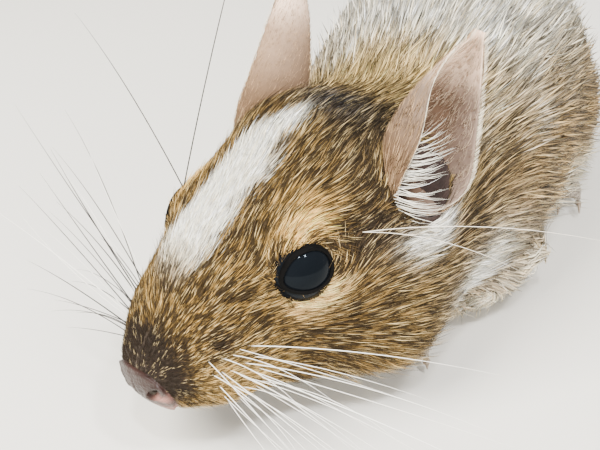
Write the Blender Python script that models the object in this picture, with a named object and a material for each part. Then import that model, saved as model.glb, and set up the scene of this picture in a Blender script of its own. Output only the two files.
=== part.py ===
"""A degu, life-size, crouching on the floor with its head turned a little to its right.

Body frame: the nose tip is at y = 0 on a straight spine, +y runs back to the rump, +x is
the animal's left and +z is up. settle() bends that frame at the neck and stands it on the
floor, with the animal facing -Y and the middle of its belly at the origin.
"""

import math

import bmesh
import bpy
import numpy as np
from mathutils import Vector

# Sizes in millimetres, turned into metres when a mesh is made.
MM = 0.001
GAP = 0.3

BODY_LENGTH = 122.0
SPINE_HEIGHT = 30.0
BELLY_Y = 80.0
HEAD_DROP = 4.0

# The neck: the head turns and dips between these two stations.
NECK_FRONT_Y = 39.0
NECK_BACK_Y = 60.0
HEAD_YAW = math.radians(-22.0)
HEAD_PITCH = math.radians(16.0)

# Where the loft is parted into nodes.
HEAD_END_Y = 40.0
NECK_END_Y = 55.0
CHEST_END_Y = 80.0

NOSE_CAP = 2.8
RUMP_CAP = 42.0

# Each section: y, middle's height, half width, rise above and drop below the middle, and how
# square its upper and lower halves are (2 is an ellipse).
SECTIONS = np.array(
    [
        [0.0, -0.6, 4.3, 3.4, 3.9, 2.2, 2.2],
        [3.0, -0.6, 6.0, 4.9, 5.8, 2.1, 2.3],
        [7.0, -0.6, 8.9, 8.2, 8.2, 2.0, 2.4],
        [12.0, -0.6, 11.0, 11.4, 10.4, 1.9, 2.4],
        [17.0, -0.6, 12.4, 13.8, 13.2, 1.75, 2.4],
        [22.0, -0.8, 14.4, 15.4, 15.4, 1.75, 2.4],
        [28.0, -1.2, 16.8, 17.4, 17.4, 1.9, 2.5],
        [34.0, -1.2, 18.2, 18.4, 18.8, 2.0, 2.5],
        [41.0, -1.2, 18.8, 17.2, 19.8, 2.0, 2.5],
        [49.0, -4.4, 18.2, 15.4, 21.0, 2.0, 2.6],
        [58.0, -5.8, 19.4, 18.4, 22.6, 2.0, 2.7],
        [67.0, -7.6, 20.8, 22.4, 24.5, 2.0, 2.7],
        [78.0, -8.0, 22.4, 26.0, 24.5, 2.0, 2.5],
        [90.0, -8.6, 21.2, 27.6, 24.0, 2.0, 2.4],
        [104.0, -8.0, 18.6, 27.6, 24.5, 2.0, 2.2],
        [122.0, -7.7, 15.4, 24.0, 22.0, 2.0, 2.0],
    ]
)

# Soft rises and hollows of the head, each on both sides: middle, reach along x, y and z,
# and the push in millimetres. A minus sign pushes inwards.
BROW = ((10.0, 21.0, 9.6), (3.6, 4.6, 3.6), (0.7, 0.0, 2.2))
CHEEK = ((16.0, 28.0, -8.0), (6.0, 8.5, 7.5), (2.9, 0.0, -0.8))
WHISKER_PAD = ((7.6, 8.0, -2.6), (3.6, 4.8, 3.6), (1.4, -0.2, 0.0))
EYE_HOLLOW = ((9.8, 14.5, 5.4), (2.8, 3.6, 3.2), (-1.0, 0.0, -0.2))
TEMPLE = ((12.6, 30.5, 10.5), (4.0, 5.0, 4.0), (-1.0, 0.0, -0.4))

# Soft forms of the trunk, in the same way: the throat is drawn up over the forefeet, the
# shoulder and the haunch stand out, and the flank between them and the loin draw in.
THROAT = ((6.0, 35.0, -22.0), (7.5, 10.0, 10.0), (0.0, 0.0, 7.5))
SHOULDER = ((21.0, 64.0, -6.0), (8.0, 9.0, 12.0), (1.4, 0.0, 0.0))
FLANK = ((24.0, 82.0, -10.0), (9.0, 8.0, 12.0), (-1.4, 0.0, 0.0))
HAUNCH = ((17.0, 98.0, -9.0), (9.0, 12.0, 12.0), (2.6, 0.0, 0.3))
ELBOW = ((20.0, 57.0, -17.0), (8.0, 8.0, 8.0), (2.0, 0.0, 0.0))
TRUNK_FORMS = (THROAT, SHOULDER, FLANK, HAUNCH, ELBOW)

# The mouth's line seen from the side, from ahead of the lips to its corner, and on through
# the throat, where the lower jaw meets the head. The lower jaw is narrower than the lips
# above it.
MOUTH_LINE = ((-6.0, -4.4), (2.6, -5.4), (11.5, -6.6), (17.0, -10.0), (19.5, -26.0))
MOUTH_CORNER_Y = 11.5
JAW_NARROWING = 0.20

EYE_RADIUS = 4.6
EYE_CENTRE = (8.9, 22.0, 5.6)
EYE_AXIS = (0.86, -0.22, 0.44)
LID_REACH = 5.25
LID_ANGLE = math.radians(50.0)
LID_HEIGHT = 0.90
LID_CORNER = 0.16
LID_THICKNESS = 0.62

NOSE_CENTRE = (0.0, -0.6, 0.2)
NOSE_RADII = (3.9, 3.0, 3.7)
NOSTRIL_CENTRE = (2.15, 0.0, -0.6)
NOSTRIL_RADII = (0.75, 1.5, 0.55)

PAD_CENTRE = (8.2, 8.8, -1.8)
PAD_RADII = (5.2, 6.4, 5.2)

# The ears are held differently: the left one is laid back and the right one stands up. Each
# reaches round its hollow by a sweep to both rims, the front rim rolls further by a turn in
# degrees, and the rear one swells into a lobe low down by a share of the radius.
EAR_LENGTH = {"left": 23.1, "right": 26.2}
EAR_RADIUS = {"left": 4.9, "right": 5.0}
EAR_WALL = 0.9
EAR_BASE = {"left": (13.8, 36.1, 5.0), "right": (13.4, 35.5, 5.4)}
EAR_AXES = {"left": (0.12, 0.73, 0.78), "right": (0.03, 0.67, 0.76)}
EAR_OPENING = {"left": (0.89, -0.82, -0.12), "right": (1.12, 0.0, -0.22)}
EAR_SWEEP = (104.0, 66.0)
EAR_FRONT_TURN = {"left": 26.0, "right": -23.0}
EAR_LOBE = {"left": 0.47, "right": 0.39}
EAR_ROWS = 13
EAR_ROWS_IN_HEAD = 10

WHISKER_ROWS = 4
WHISKERS_A_ROW = 3
WHISKER_THICKNESS = 0.55
WHISKER_LENGTHS = {"left": (20.0, 33.0), "right": (24.0, 40.0)}
WHISKER_LIFT = {"left": (0.06, -0.42), "right": (0.58, -0.30)}
WHISKER_SWING = (-0.34, 0.26)
FLOOR_CLEARANCE = 2.0

# The long hairs over and behind each eye: where they are rooted, and where each one points.
BROW_ROOT = {"left": (13.9, 29.0, 7.6), "right": (9.6, 21.6, 11.0)}
BROW_HAIRS = {
    "left": (((0.80, 0.58, -0.20), 30.0), ((0.85, 0.45, -0.36), 20.0)),
    "right": (((0.0, 0.65, 0.76), 40.0), ((0.72, 0.20, 0.66), 28.0)),
}
BROW_RADIUS = 1.9

# The legs stand in the floor frame: paths from the shoulder or heel, on the left side.
FORELEG = ((17.8, -18.5, 9.0), (14.8, -27.0, 6.2), (7.4, -34.0, 4.0))
FORELEG_RADII = (5.4, 4.6, 3.0)

# Each foot: heel, length of the sole, width, the toes' turns in degrees, and a toe's length.
FOREFOOT = ((5.6, -33.5, 2.0), 8.0, 6.0, (-24.0, -8.0, 8.0, 24.0), 5.0)
HINDFOOT = ((17.0, 33.0, 2.4), 20.0, 7.4, (-15.0, -5.0, 5.0, 15.0), 7.5)

SOLE_FLATNESS = 0.62

# The haunch is the part of an egg shape outside an upright plane.
THIGH_CENTRE = (9.0, 18.0, 14.5)
THIGH_RADII = (14.0, 18.5, 16.5)
THIGH_INNER_X = 14.0

TAIL_PATH = (
    (0.0, 29.0, 16.0),
    (-0.5, 43.0, 11.0),
    (-2.0, 56.0, 6.0),
    (-6.0, 70.0, 3.2),
    (-12.0, 85.0, 2.6),
    (-21.0, 99.0, 2.4),
    (-33.0, 111.0, 2.3),
    (-47.0, 120.0, 2.2),
    (-61.0, 125.0, 2.0),
)
TAIL_RADII = (6.4, 5.4, 4.2, 3.5, 3.1, 2.9, 2.8, 2.6, 2.0)
TAIL_CUTS = (0.42, 0.74)
TUFT_LOCKS = 16
TUFT_LOCK_LENGTH = 13.0


def hermite(y, column):
    """Smooth value of a SECTIONS column at y, by cubic pieces with centred slopes."""
    knots = SECTIONS[:, 0]
    values = SECTIONS[:, column]
    slopes = np.gradient(values, knots)
    i = np.clip(np.searchsorted(knots, y) - 1, 0, len(knots) - 2)
    span = knots[i + 1] - knots[i]
    t = (y - knots[i]) / span
    return (
        (1 + 2 * t) * (1 - t) ** 2 * values[i]
        + t * (1 - t) ** 2 * span * slopes[i]
        + t * t * (3 - 2 * t) * values[i + 1]
        + t * t * (t - 1) * span * slopes[i + 1]
    )


def rounding(y):
    """Share of a section's size at y: 1 along the body, closing as a quarter circle at both ends."""
    nose = np.clip(1 - y / NOSE_CAP, 0, 1)
    rump = np.clip(1 - (BODY_LENGTH - y) / RUMP_CAP, 0, 1)
    return np.sqrt(np.maximum(1 - nose**2, 0)) * np.sqrt(np.maximum(1 - rump**2, 0))


def pushed(points, feature):
    """Points moved by a soft bump on both sides: the push falls off as a bell from its middle."""
    middle, reach, push = (np.array(v) for v in feature)
    side = np.where(points[..., :1] < 0, -1.0, 1.0)
    folded = points * np.concatenate([side, np.ones_like(side), np.ones_like(side)], -1)
    weight = np.exp(-(((folded - middle) / reach) ** 2).sum(-1, keepdims=True))
    moved = folded + weight * push
    return np.concatenate([moved[..., :1] * side, moved[..., 1:]], -1)


def narrowed_jaw(points):
    """Points of the lower jaw drawn towards the middle, ahead of the corner of the mouth."""
    below = np.clip((-4.6 - points[..., 2]) / 2.4, 0, 1)
    ahead = np.clip((MOUTH_CORNER_Y + 5.0 - points[..., 1]) / 8.0, 0, 1)
    share = 1 - JAW_NARROWING * below * ahead
    return points * np.stack([share, np.ones_like(share), np.ones_like(share)], -1)


def body_surface(y, angle):
    """Point of the coat's outer surface at y behind the nose and an angle round the spine, 0 at
    the left side and a quarter turn at the top: a rounded section, then the head's soft forms."""
    cap = rounding(y)
    wide = hermite(y, 2)
    above = np.sin(angle) > 0
    square = np.where(above, hermite(y, 5), hermite(y, 6))
    rise = np.where(above, hermite(y, 3), hermite(y, 4))
    reach = (np.abs(np.cos(angle) / wide) ** square + np.abs(np.sin(angle) / rise) ** square) ** (
        -1 / square
    )
    points = np.stack(
        [
            cap * reach * np.cos(angle),
            y + 0 * angle,
            hermite(y, 1) + cap * reach * np.sin(angle),
        ],
        -1,
    )
    for feature in (BROW, CHEEK, WHISKER_PAD, EYE_HOLLOW, TEMPLE, *TRUNK_FORMS):
        points = pushed(points, feature)
    return narrowed_jaw(points)


def turned(vectors, yaw, pitch):
    """Vectors dipped by pitch about x and then turned by yaw about z."""
    x, y, z = vectors[..., 0], vectors[..., 1], vectors[..., 2]
    y, z = y * np.cos(pitch) - z * np.sin(pitch), y * np.sin(pitch) + z * np.cos(pitch)
    return np.stack([x * np.cos(yaw) - y * np.sin(yaw), x * np.sin(yaw) + y * np.cos(yaw), z], -1)


def neck_share(y):
    """How much of the head's turn a station has: 0 at the shoulders and 1 at the head."""
    t = np.clip((NECK_BACK_Y - y) / (NECK_BACK_Y - NECK_FRONT_Y), 0, 1)
    return t * t * (3 - 2 * t)


def spine_point(y):
    """The bent spine at y, summed forwards from the shoulders in short steps."""
    fine = np.linspace(NECK_BACK_Y, -40.0, 401)
    share = neck_share(fine)
    steps = turned(
        np.stack([0 * fine, np.gradient(fine), 0 * fine], -1), HEAD_YAW * share, HEAD_PITCH * share
    )
    path = np.cumsum(steps, 0) - steps[:1]
    path += np.array([0.0, NECK_BACK_Y, 0.0])
    ahead = np.minimum(y, NECK_BACK_Y)
    bent = np.stack([np.interp(-ahead, -fine, path[:, axis]) for axis in range(3)], -1)
    bent[..., 1] += y - ahead
    return bent


def settle(points, share=None):
    """Body-frame points carried by the bent spine to their place over the floor. share=1 carries
    them with the head."""
    y = points[..., 1]
    if share is None:
        share = neck_share(y)
        base = spine_point(y)
        local = points * np.array([1.0, 0.0, 1.0])
    else:
        base = spine_point(np.array([NECK_FRONT_Y]))[0]
        local = points - np.array([0.0, NECK_FRONT_Y, 0.0])
    world = base + turned(local, HEAD_YAW * share, HEAD_PITCH * share)
    world = world + np.array([0.0, -BELLY_Y, SPINE_HEIGHT])
    world[..., 2] -= HEAD_DROP * share
    return world


def on_head(points):
    """Body-frame points of something that the head carries, in place."""
    return settle(np.asarray(points, float), share=1.0)


def material(name, colour, roughness):
    made = bpy.data.materials.new(name)
    made.use_nodes = True
    shader = made.node_tree.nodes["Principled BSDF"]
    shader.inputs["Base Color"].default_value = (*colour, 1.0)
    shader.inputs["Roughness"].default_value = roughness
    shader.inputs["Metallic"].default_value = 0.0
    made.diffuse_color = (*colour, 1.0)
    return made


def new_object(name, points, faces, collection, finish=None):
    """A mesh object from points in millimetres, with its faces turned outwards."""
    mesh = bpy.data.meshes.new(name)
    mesh.from_pydata([tuple(p) for p in np.asarray(points, float) * MM], [], faces)
    tidy = bmesh.new()
    tidy.from_mesh(mesh)
    bmesh.ops.remove_doubles(tidy, verts=tidy.verts, dist=1e-6)
    bmesh.ops.recalc_face_normals(tidy, faces=tidy.faces)
    tidy.to_mesh(mesh)
    tidy.free()
    mesh.shade_smooth()
    made = bpy.data.objects.new(name, mesh)
    if finish:
        mesh.materials.append(finish)
    collection.objects.link(made)
    return made


def tube_faces(rings, around):
    """Quads between neighbouring rings of points, with a many-sided face over each end."""
    faces = []
    for ring in range(rings - 1):
        for i in range(around):
            j = (i + 1) % around
            a, b = ring * around, (ring + 1) * around
            faces.append((a + i, a + j, b + j, b + i))
    faces.append(tuple(range(around))[::-1])
    faces.append(tuple(range((rings - 1) * around, rings * around)))
    return faces


def loft(name, rings, collection, finish=None):
    """A closed solid through rings of points, an array of rings by points round by 3."""
    count, around = rings.shape[:2]
    return new_object(name, rings.reshape(-1, 3), tube_faces(count, around), collection, finish)


def body_length_of(name, ys, around, finish, collection):
    """One length of the body between its first and last y."""
    angles = np.linspace(0, 2 * math.pi, around, endpoint=False)
    y, angle = np.meshgrid(ys, angles, indexing="ij")
    return loft(name, settle(body_surface(y, angle)), collection, finish)


def swept(name, path, radii, around, collection, finish=None, flatten=1.0, headings=None):
    """A round tube along a path of points with a radius at each, closed at both ends. flatten
    scales its height. headings are the path's directions, if the path itself shouldn't set them."""
    path = np.asarray(path, float)
    radii = np.asarray(radii, float)
    ahead = np.gradient(path, axis=0) if headings is None else headings
    ahead /= np.linalg.norm(ahead, axis=1, keepdims=True)
    level = np.cross(ahead, [0.0, 0.0, 1.0])
    level /= np.maximum(np.linalg.norm(level, axis=1, keepdims=True), 1e-9)
    upright = np.cross(level, ahead)
    angles = np.linspace(0, 2 * math.pi, around, endpoint=False)
    rings = (
        path[:, None]
        + radii[:, None, None] * np.cos(angles)[None, :, None] * level[:, None]
        + flatten * radii[:, None, None] * np.sin(angles)[None, :, None] * upright[:, None]
    )
    return loft(name, rings, collection, finish)


def smooth_path(points, count):
    """count points on a smooth curve through a few, by cubic pieces with centred slopes."""
    points = np.asarray(points, float)
    knots = np.concatenate([[0], np.cumsum(np.linalg.norm(np.diff(points, axis=0), axis=1))])
    slopes = np.gradient(points, knots, axis=0)
    s = np.linspace(0, knots[-1], count)
    i = np.clip(np.searchsorted(knots, s) - 1, 0, len(knots) - 2)
    span = (knots[i + 1] - knots[i])[:, None]
    t = ((s - knots[i]) / span[:, 0])[:, None]
    return (
        (1 + 2 * t) * (1 - t) ** 2 * points[i]
        + t * (1 - t) ** 2 * span * slopes[i]
        + t * t * (3 - 2 * t) * points[i + 1]
        + t * t * (t - 1) * span * slopes[i + 1]
    )


def ellipsoid(name, centre, radii, collection, segments=28, rings=16, carry=None):
    """A round solid with three radii. carry places its points, as on_head does."""
    made = bmesh.new()
    bmesh.ops.create_uvsphere(made, u_segments=segments, v_segments=rings, radius=1.0)
    points = np.array([v.co for v in made.verts]) * np.array(radii) + np.array(centre)
    faces = [tuple(v.index for v in f.verts) for f in made.faces]
    made.free()
    if carry:
        points = carry(points)
    return new_object(name, points, faces, collection)


def grown(source, amount, collection):
    """A copy of a solid with every point moved out along its normal."""
    mesh = source.data.copy()
    normals = np.array([v.normal for v in mesh.vertices])
    points = np.array([v.co for v in mesh.vertices]) + normals * amount * MM
    mesh.vertices.foreach_set("co", points.ravel())
    made = bpy.data.objects.new(source.name + "_grown", mesh)
    collection.objects.link(made)
    return made


def boolean(target, tool, operation, solver="EXACT"):
    """The Boolean of target with a tool object, applied to target's mesh, keeping its largest piece."""
    modifier = target.modifiers.new("cut", "BOOLEAN")
    modifier.operation = operation
    modifier.solver = solver
    if isinstance(tool, bpy.types.Collection):
        modifier.operand_type = "COLLECTION"
        modifier.collection = tool
    else:
        modifier.object = tool
    apply_modifiers(target)
    keep_largest(target)


def apply_modifiers(target):
    """The evaluated mesh put in place of the object's own."""
    graph = bpy.context.evaluated_depsgraph_get()
    made = bpy.data.meshes.new_from_object(target.evaluated_get(graph))
    target.modifiers.clear()
    target.data = made


def keep_largest(target):
    """Everything but the closed surface with the largest volume removed from a mesh."""
    mesh = bmesh.new()
    mesh.from_mesh(target.data)
    bmesh.ops.triangulate(mesh, faces=mesh.faces)
    left = set(mesh.faces)
    shells = []
    while left:
        shell = {left.pop()}
        edge = list(shell)
        while edge:
            near = {g for f in edge for e in f.edges for g in e.link_faces if g in left}
            left -= near
            shell |= near
            edge = list(near)
        volume = sum(
            f.verts[0].co.dot(f.verts[1].co.cross(f.verts[2].co)) / 6 for f in shell
        )
        shells.append((volume, shell))
    shells.sort(key=lambda found: found[0])
    for _, shell in shells[:-1]:
        bmesh.ops.delete(mesh, geom=list(shell), context="FACES")
    loose = [v for v in mesh.verts if not v.link_faces]
    bmesh.ops.delete(mesh, geom=loose, context="VERTS")
    mesh.to_mesh(target.data)
    mesh.free()


def join_all(target, pieces, solver="MANIFOLD"):
    """A target fused with loose pieces by one union, and the pieces removed."""
    gathered = bpy.data.collections.new("fused")
    bpy.context.scene.collection.children.link(gathered)
    for piece in pieces:
        for owner in list(piece.users_collection):
            owner.objects.unlink(piece)
        gathered.objects.link(piece)
    bpy.context.view_layer.update()
    boolean(target, gathered, "UNION", solver)
    for piece in pieces:
        bpy.data.objects.remove(piece)
    bpy.data.collections.remove(gathered)


# The six sides of a box whose corners run through z, then y, then x.
BOX_FACES = [(0, 1, 3, 2), (4, 6, 7, 5), (0, 4, 5, 1), (2, 3, 7, 6), (0, 2, 6, 4), (1, 5, 7, 3)]


def unit(vector):
    vector = np.asarray(vector, float)
    return vector / np.linalg.norm(vector)


def mirrored(values, side):
    """A point or direction of the left side, or its twin on the right."""
    return np.asarray(values, float) * flip(side)


def head_rows():
    """The y of each ring of the head, close together at the muzzle."""
    cap = NOSE_CAP * (1 - np.cos(np.linspace(0.22, math.pi / 2, 5)))
    return np.concatenate([cap, np.linspace(NOSE_CAP + 1.2, HEAD_END_Y, 22)])


def make_lids(side, collection):
    """A tube round the opening of the eye, on a sphere a little larger than the eyeball: an oval
    with a pointed corner towards the nose."""
    axis = unit(mirrored(EYE_AXIS, side))
    upright = unit(np.array([0.0, 0.0, 1.0]) - axis * axis[2])
    forwards = unit(np.array([0.0, -1.0, 0.0]) + axis * axis[1])
    forwards = unit(forwards - upright * forwards.dot(upright))
    turn = np.linspace(0, 2 * math.pi, 22, endpoint=False)
    corner = np.exp(-((np.minimum(turn, 2 * math.pi - turn) / 0.42) ** 2))
    open_angle = LID_ANGLE * (LID_HEIGHT + (1 - LID_HEIGHT) * np.cos(turn) ** 2 + LID_CORNER * corner)
    around = forwards * np.cos(turn)[:, None] + upright * np.sin(turn)[:, None]
    outward = axis * np.cos(open_angle)[:, None] + around * np.sin(open_angle)[:, None]
    aside = around * np.cos(open_angle)[:, None] - axis * np.sin(open_angle)[:, None]
    ring = mirrored(EYE_CENTRE, side) + outward * LID_REACH
    tube = np.linspace(0, 2 * math.pi, 6, endpoint=False)
    points = (
        ring[:, None]
        + LID_THICKNESS * np.cos(tube)[None, :, None] * outward[:, None]
        + LID_THICKNESS * np.sin(tube)[None, :, None] * aside[:, None]
    )
    count, sides = points.shape[:2]
    faces = [
        (
            i * sides + j,
            ((i + 1) % count) * sides + j,
            ((i + 1) % count) * sides + (j + 1) % sides,
            i * sides + (j + 1) % sides,
        )
        for i in range(count)
        for j in range(sides)
    ]
    return new_object("lids", on_head(points.reshape(-1, 3)), faces, collection)


def make_eye(side, finish, collection, tools):
    """The eyeball, and the socket that leaves a gap round it."""
    centre = mirrored(EYE_CENTRE, side)
    size = (EYE_RADIUS,) * 3
    eye = ellipsoid("eye_" + side, centre, size, collection, 18, 10, on_head)
    eye.data.materials.append(finish)
    socket = ellipsoid("socket", centre, (EYE_RADIUS + GAP,) * 3, tools, 18, 10, on_head)
    return eye, socket


def ear_walls(side):
    """The ear's inner and outer wall, from its notch at the root to its tip and from the front
    rim round to the rear rim. Its width opens quickly from the root and narrows to the tip."""
    long_axis = unit(mirrored(EAR_AXES[side], side))
    opening = mirrored(EAR_OPENING[side], side)
    opening = unit(opening - long_axis * opening.dot(long_axis))
    back = np.cross(long_axis, opening)
    back *= np.sign(back[1])
    s, t = np.meshgrid(np.linspace(0, 1, EAR_ROWS), np.linspace(-1, 1, 11), indexing="ij")
    leaf = np.maximum(np.sin(math.pi * s**0.72), 0.0) ** 0.8
    radius = EAR_RADIUS[side] * np.maximum(leaf, 0.16)
    lobe = np.exp(-(((s - 0.12) / 0.30) ** 2)) * np.clip(t, 0, 1) ** 1.5
    radius = radius * (1 + EAR_LOBE[side] * lobe)
    rolled = EAR_FRONT_TURN[side] * np.exp(-(((s - 0.3) / 0.3) ** 2)) * (t < 0)
    sweep = np.radians(EAR_SWEEP[0] + (EAR_SWEEP[1] - EAR_SWEEP[0]) * s + rolled)
    walls = []
    for wall in (0.0, EAR_WALL):
        r = radius + wall * (0.55 + 0.45 * (1 - np.abs(t) ** 4)) * (1 - 0.35 * s)
        walls.append(
            mirrored(EAR_BASE[side], side)
            + long_axis * (EAR_LENGTH[side] * s + (0.9 - wall) * (s < 0.01))[..., None]
            + back * (r * np.sin(sweep * t))[..., None]
            - opening * (r * np.cos(sweep * t))[..., None]
        )
    return walls


def make_ear(side, finish, collection):
    """The ear's shell, closed between its walls at both rims, the root and the tip."""
    inner, outer = ear_walls(side)
    rows, columns = inner.shape[:2]
    points = np.concatenate([inner.reshape(-1, 3), outer.reshape(-1, 3)])
    size = rows * columns

    def at(wall, i, j):
        return wall * size + i * columns + j

    faces = []
    for i in range(rows - 1):
        for j in range(columns - 1):
            a, b, c, d = (i, j), (i + 1, j), (i + 1, j + 1), (i, j + 1)
            for wall in (0, 1):
                faces.append((at(wall, *a), at(wall, *b), at(wall, *c)))
                faces.append((at(wall, *a), at(wall, *c), at(wall, *d)))
        for j in (0, columns - 1):
            faces.append((at(0, i, j), at(0, i + 1, j), at(1, i + 1, j), at(1, i, j)))
    for j in range(columns - 1):
        for i in (0, rows - 1):
            faces.append((at(0, i, j), at(0, i, j + 1), at(1, i, j + 1), at(1, i, j)))
    return new_object("ear_" + side, on_head(points), faces, collection, finish)


def whisker(root, heading, length, sag, collection):
    """A three-sided hair from a root along a heading, bowed upwards and a point at its end. Its
    tip is raised where it would come near the floor."""
    root = np.asarray(root, float)
    tip = root + unit(heading) * length
    tip = tip + np.array([0.0, 0.0, max(0.0, FLOOR_CLEARANCE - on_head(tip)[2])])
    s = np.array([0.0, 0.5, 0.85, 1.0])
    path = root + (tip - root) * s[:, None] + np.outer(4 * sag * s * (1 - s), [0.0, 0.0, 1.0])
    radii = WHISKER_THICKNESS / 2 * np.array([1.1, 0.9, 0.6, 0.25])
    ahead = unit(tip - root)
    across = unit(np.cross(ahead, [0.0, 0.6, 0.8]))
    upright = np.cross(across, ahead)
    turn = np.linspace(0, 2 * math.pi, 3, endpoint=False)
    rings = (
        path[:, None]
        + radii[:, None, None] * np.cos(turn)[None, :, None] * across
        + radii[:, None, None] * np.sin(turn)[None, :, None] * upright
    )
    return loft("whisker", on_head(rings), collection)


def ear_room(side, tools):
    """The hollow in the head and neck that the ear's root stands in: the hull of its outer wall,
    a gap larger."""
    _, outer = ear_walls(side)
    low = outer[:EAR_ROWS_IN_HEAD].reshape(-1, 3)
    middle = low.mean(0)
    spread = low - middle
    spread *= 1 + GAP / np.linalg.norm(spread, axis=1, keepdims=True)
    made = bmesh.new()
    for point in on_head(middle + spread):
        made.verts.new(Vector(point))
    bmesh.ops.convex_hull(made, input=made.verts)
    loose = [v for v in made.verts if not v.link_faces]
    bmesh.ops.delete(made, geom=loose, context="VERTS")
    made.verts.index_update()
    points = [tuple(v.co) for v in made.verts]
    faces = [tuple(v.index for v in f.verts) for f in made.faces]
    made.free()
    return new_object("ear_room", points, faces, tools)


def make_whiskers(side, collection):
    """Rows of whiskers on the pad, the upper ones swept up and the rear ones longest."""
    made = []
    lift = WHISKER_LIFT[side]
    shortest, longest = WHISKER_LENGTHS[side]
    for row in range(WHISKER_ROWS):
        for place in range(WHISKERS_A_ROW):
            high = row / (WHISKER_ROWS - 1)
            far = place / (WHISKERS_A_ROW - 1)
            root = np.array([7.2 + 2.0 * far, 6.2 + 5.0 * far, -4.6 + 5.0 * high])
            swing = WHISKER_SWING[0] + (WHISKER_SWING[1] - WHISKER_SWING[0]) * far
            heading = unit([0.92, swing, lift[1] + (lift[0] - lift[1]) * high])
            length = shortest + (longest - shortest) * far
            length *= 0.88 + 0.12 * math.sin(3.0 * row + 2.0 * place)
            made.append(whisker(mirrored(root, side), heading * flip(side), length, 1.8, collection))
    return made


def flip(side):
    """The factor that takes a point or direction of the left side to its own side."""
    return np.array([1.0 if side == "left" else -1.0, 1.0, 1.0])


def prism(name, outline, half_width, collection):
    """A flat-sided solid across the head from an outline in its side view."""
    ring = np.array([[0.0, y, z] for y, z in outline])
    across = np.array([half_width, 0.0, 0.0])
    return loft(name, on_head(np.stack([ring - across, ring + across])), collection)


def jaw_outline(gap):
    """The region below the mouth's line, moved down and forwards by a gap."""
    line = [(y - gap, z - gap) for y, z in MOUTH_LINE]
    return [*line, (-6.0 - gap, -26.0)]


def box_to(reach, side, tools):
    """A box from the far side of the animal to an upright plane at a distance left or right."""
    inner = -90.0 if side == "left" else 90.0
    outer = reach if side == "left" else -reach
    return new_object(
        "inner_half",
        [(x, y, z) for x in sorted((inner, outer)) for y in (-150, 150) for z in (-90, 120)],
        BOX_FACES,
        tools,
    )


def on_floor(target, floor):
    """Everything below the floor cut off a solid."""
    boolean(target, floor, "DIFFERENCE")


def copy_of(source, name, collection):
    made = bpy.data.objects.new(name, source.data.copy())
    collection.objects.link(made)
    return made


def make_nose(head, finish, collection, tools):
    """The tip of the muzzle as a pad of its own with two slanted nostrils."""
    nose = copy_of(head, "nose", collection)
    boolean(nose, ellipsoid("nose_tool", NOSE_CENTRE, NOSE_RADII, tools, 16, 8, on_head), "INTERSECT")
    room = ellipsoid("nose_room", NOSE_CENTRE, np.array(NOSE_RADII) + GAP, tools, 16, 8, on_head)
    boolean(head, room, "DIFFERENCE")
    for side in ("left", "right"):
        centre = mirrored(NOSTRIL_CENTRE, side)
        boolean(nose, ellipsoid("nostril", centre, NOSTRIL_RADII, tools, 10, 6, on_head), "DIFFERENCE")
    nose.data.materials.clear()
    nose.data.materials.append(finish)
    return nose


def make_jaw(head, collection, tools):
    """The lower jaw and lip, parted from the head along the mouth's line."""
    jaw = copy_of(head, "jaw", collection)
    boolean(jaw, prism("jaw_tool", jaw_outline(GAP), 40.0, tools), "INTERSECT")
    boolean(head, prism("jaw_room", jaw_outline(0.0), 40.0, tools), "DIFFERENCE")
    return jaw


def foot_path(heel, length, side, spare=0.0):
    """The middle of a foot's sole from behind its heel to just past the ball of the toes. spare
    makes both ends longer."""
    heel = np.array(heel)
    ball = heel + np.array([0.0, -length, 0.0])
    middle = (heel + ball) / 2 + np.array([0.0, 0.0, 0.4])
    behind = heel + np.array([0.0, 2.0 + spare, 0.6])
    ends = (behind, heel, middle, ball, ball + [0, -1.6 - spare, -0.4])
    return smooth_path(ends, 8) * flip(side)


def foot_radii(width):
    """Half the width of a foot along its path, narrow at the heel and widest at the ball."""
    return width / 2 * np.interp(np.linspace(0, 1, 8), [0, 0.15, 0.5, 0.85, 1], [0.35, 0.72, 0.78, 1, 0.55])


def make_foot(name, measures, side, finish, collection, tools):
    """A flat foot with its toes spread forwards, each toe arched over its pad and ending in a
    short claw."""
    heel, length, width, toe_turns, toe_length = measures
    foot = swept(
        name,
        foot_path(heel, length, side),
        foot_radii(width),
        12,
        collection,
        finish,
        flatten=SOLE_FLATNESS,
    )
    ball = np.array(heel) + np.array([0.0, -length, 0.0])
    pieces = []
    for number, degrees in enumerate(toe_turns):
        turn = math.radians(degrees)
        ahead = np.array([math.sin(turn), -math.cos(turn), 0.0])
        aside = width * 0.40 * degrees / abs(toe_turns[0])
        root = ball + np.array([aside, 0.6, 0.1])
        reach = toe_length * (1.0 if number in (1, 2) else 0.82)
        knuckle = root + ahead * reach * 0.5 + np.array([0.0, 0.0, 0.9])
        tip = root + ahead * reach + np.array([0.0, 0.0, -0.5])
        toe_line = smooth_path([root, knuckle, tip], 4) * flip(side)
        pieces.append(swept("toe", toe_line, (1.25, 1.2, 1.1, 0.7), 6, tools))
        claw_line = [tip, tip + ahead * 1.2 + [0, 0, 0.15], tip + ahead * 2.4 + [0, 0, -0.5]]
        claw_line = np.array(claw_line) * flip(side)
        pieces.append(swept("claw", claw_line, (0.55, 0.45, 0.16), 4, tools))
    join_all(foot, pieces, "EXACT")
    return foot


def foot_rooms(measures, side, tools):
    """The hollows that a foot needs in what stands over it: one for the sole, a gap larger, and
    an egg shape over the toes."""
    heel, length, width, _, toe_length = measures
    sole = swept(
        "foot_room",
        foot_path(heel, length, side, 2 * GAP),
        foot_radii(width) + GAP / SOLE_FLATNESS,
        12,
        tools,
        flatten=SOLE_FLATNESS,
    )
    middle = np.array(heel) + np.array([0.0, -length - 0.4 * toe_length, -0.6])
    reach = (1.1 * width, 1.15 * toe_length, 4.4)
    toes = ellipsoid("toes_room", mirrored(middle, side), reach, tools, 14, 8)
    return sole, toes


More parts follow.
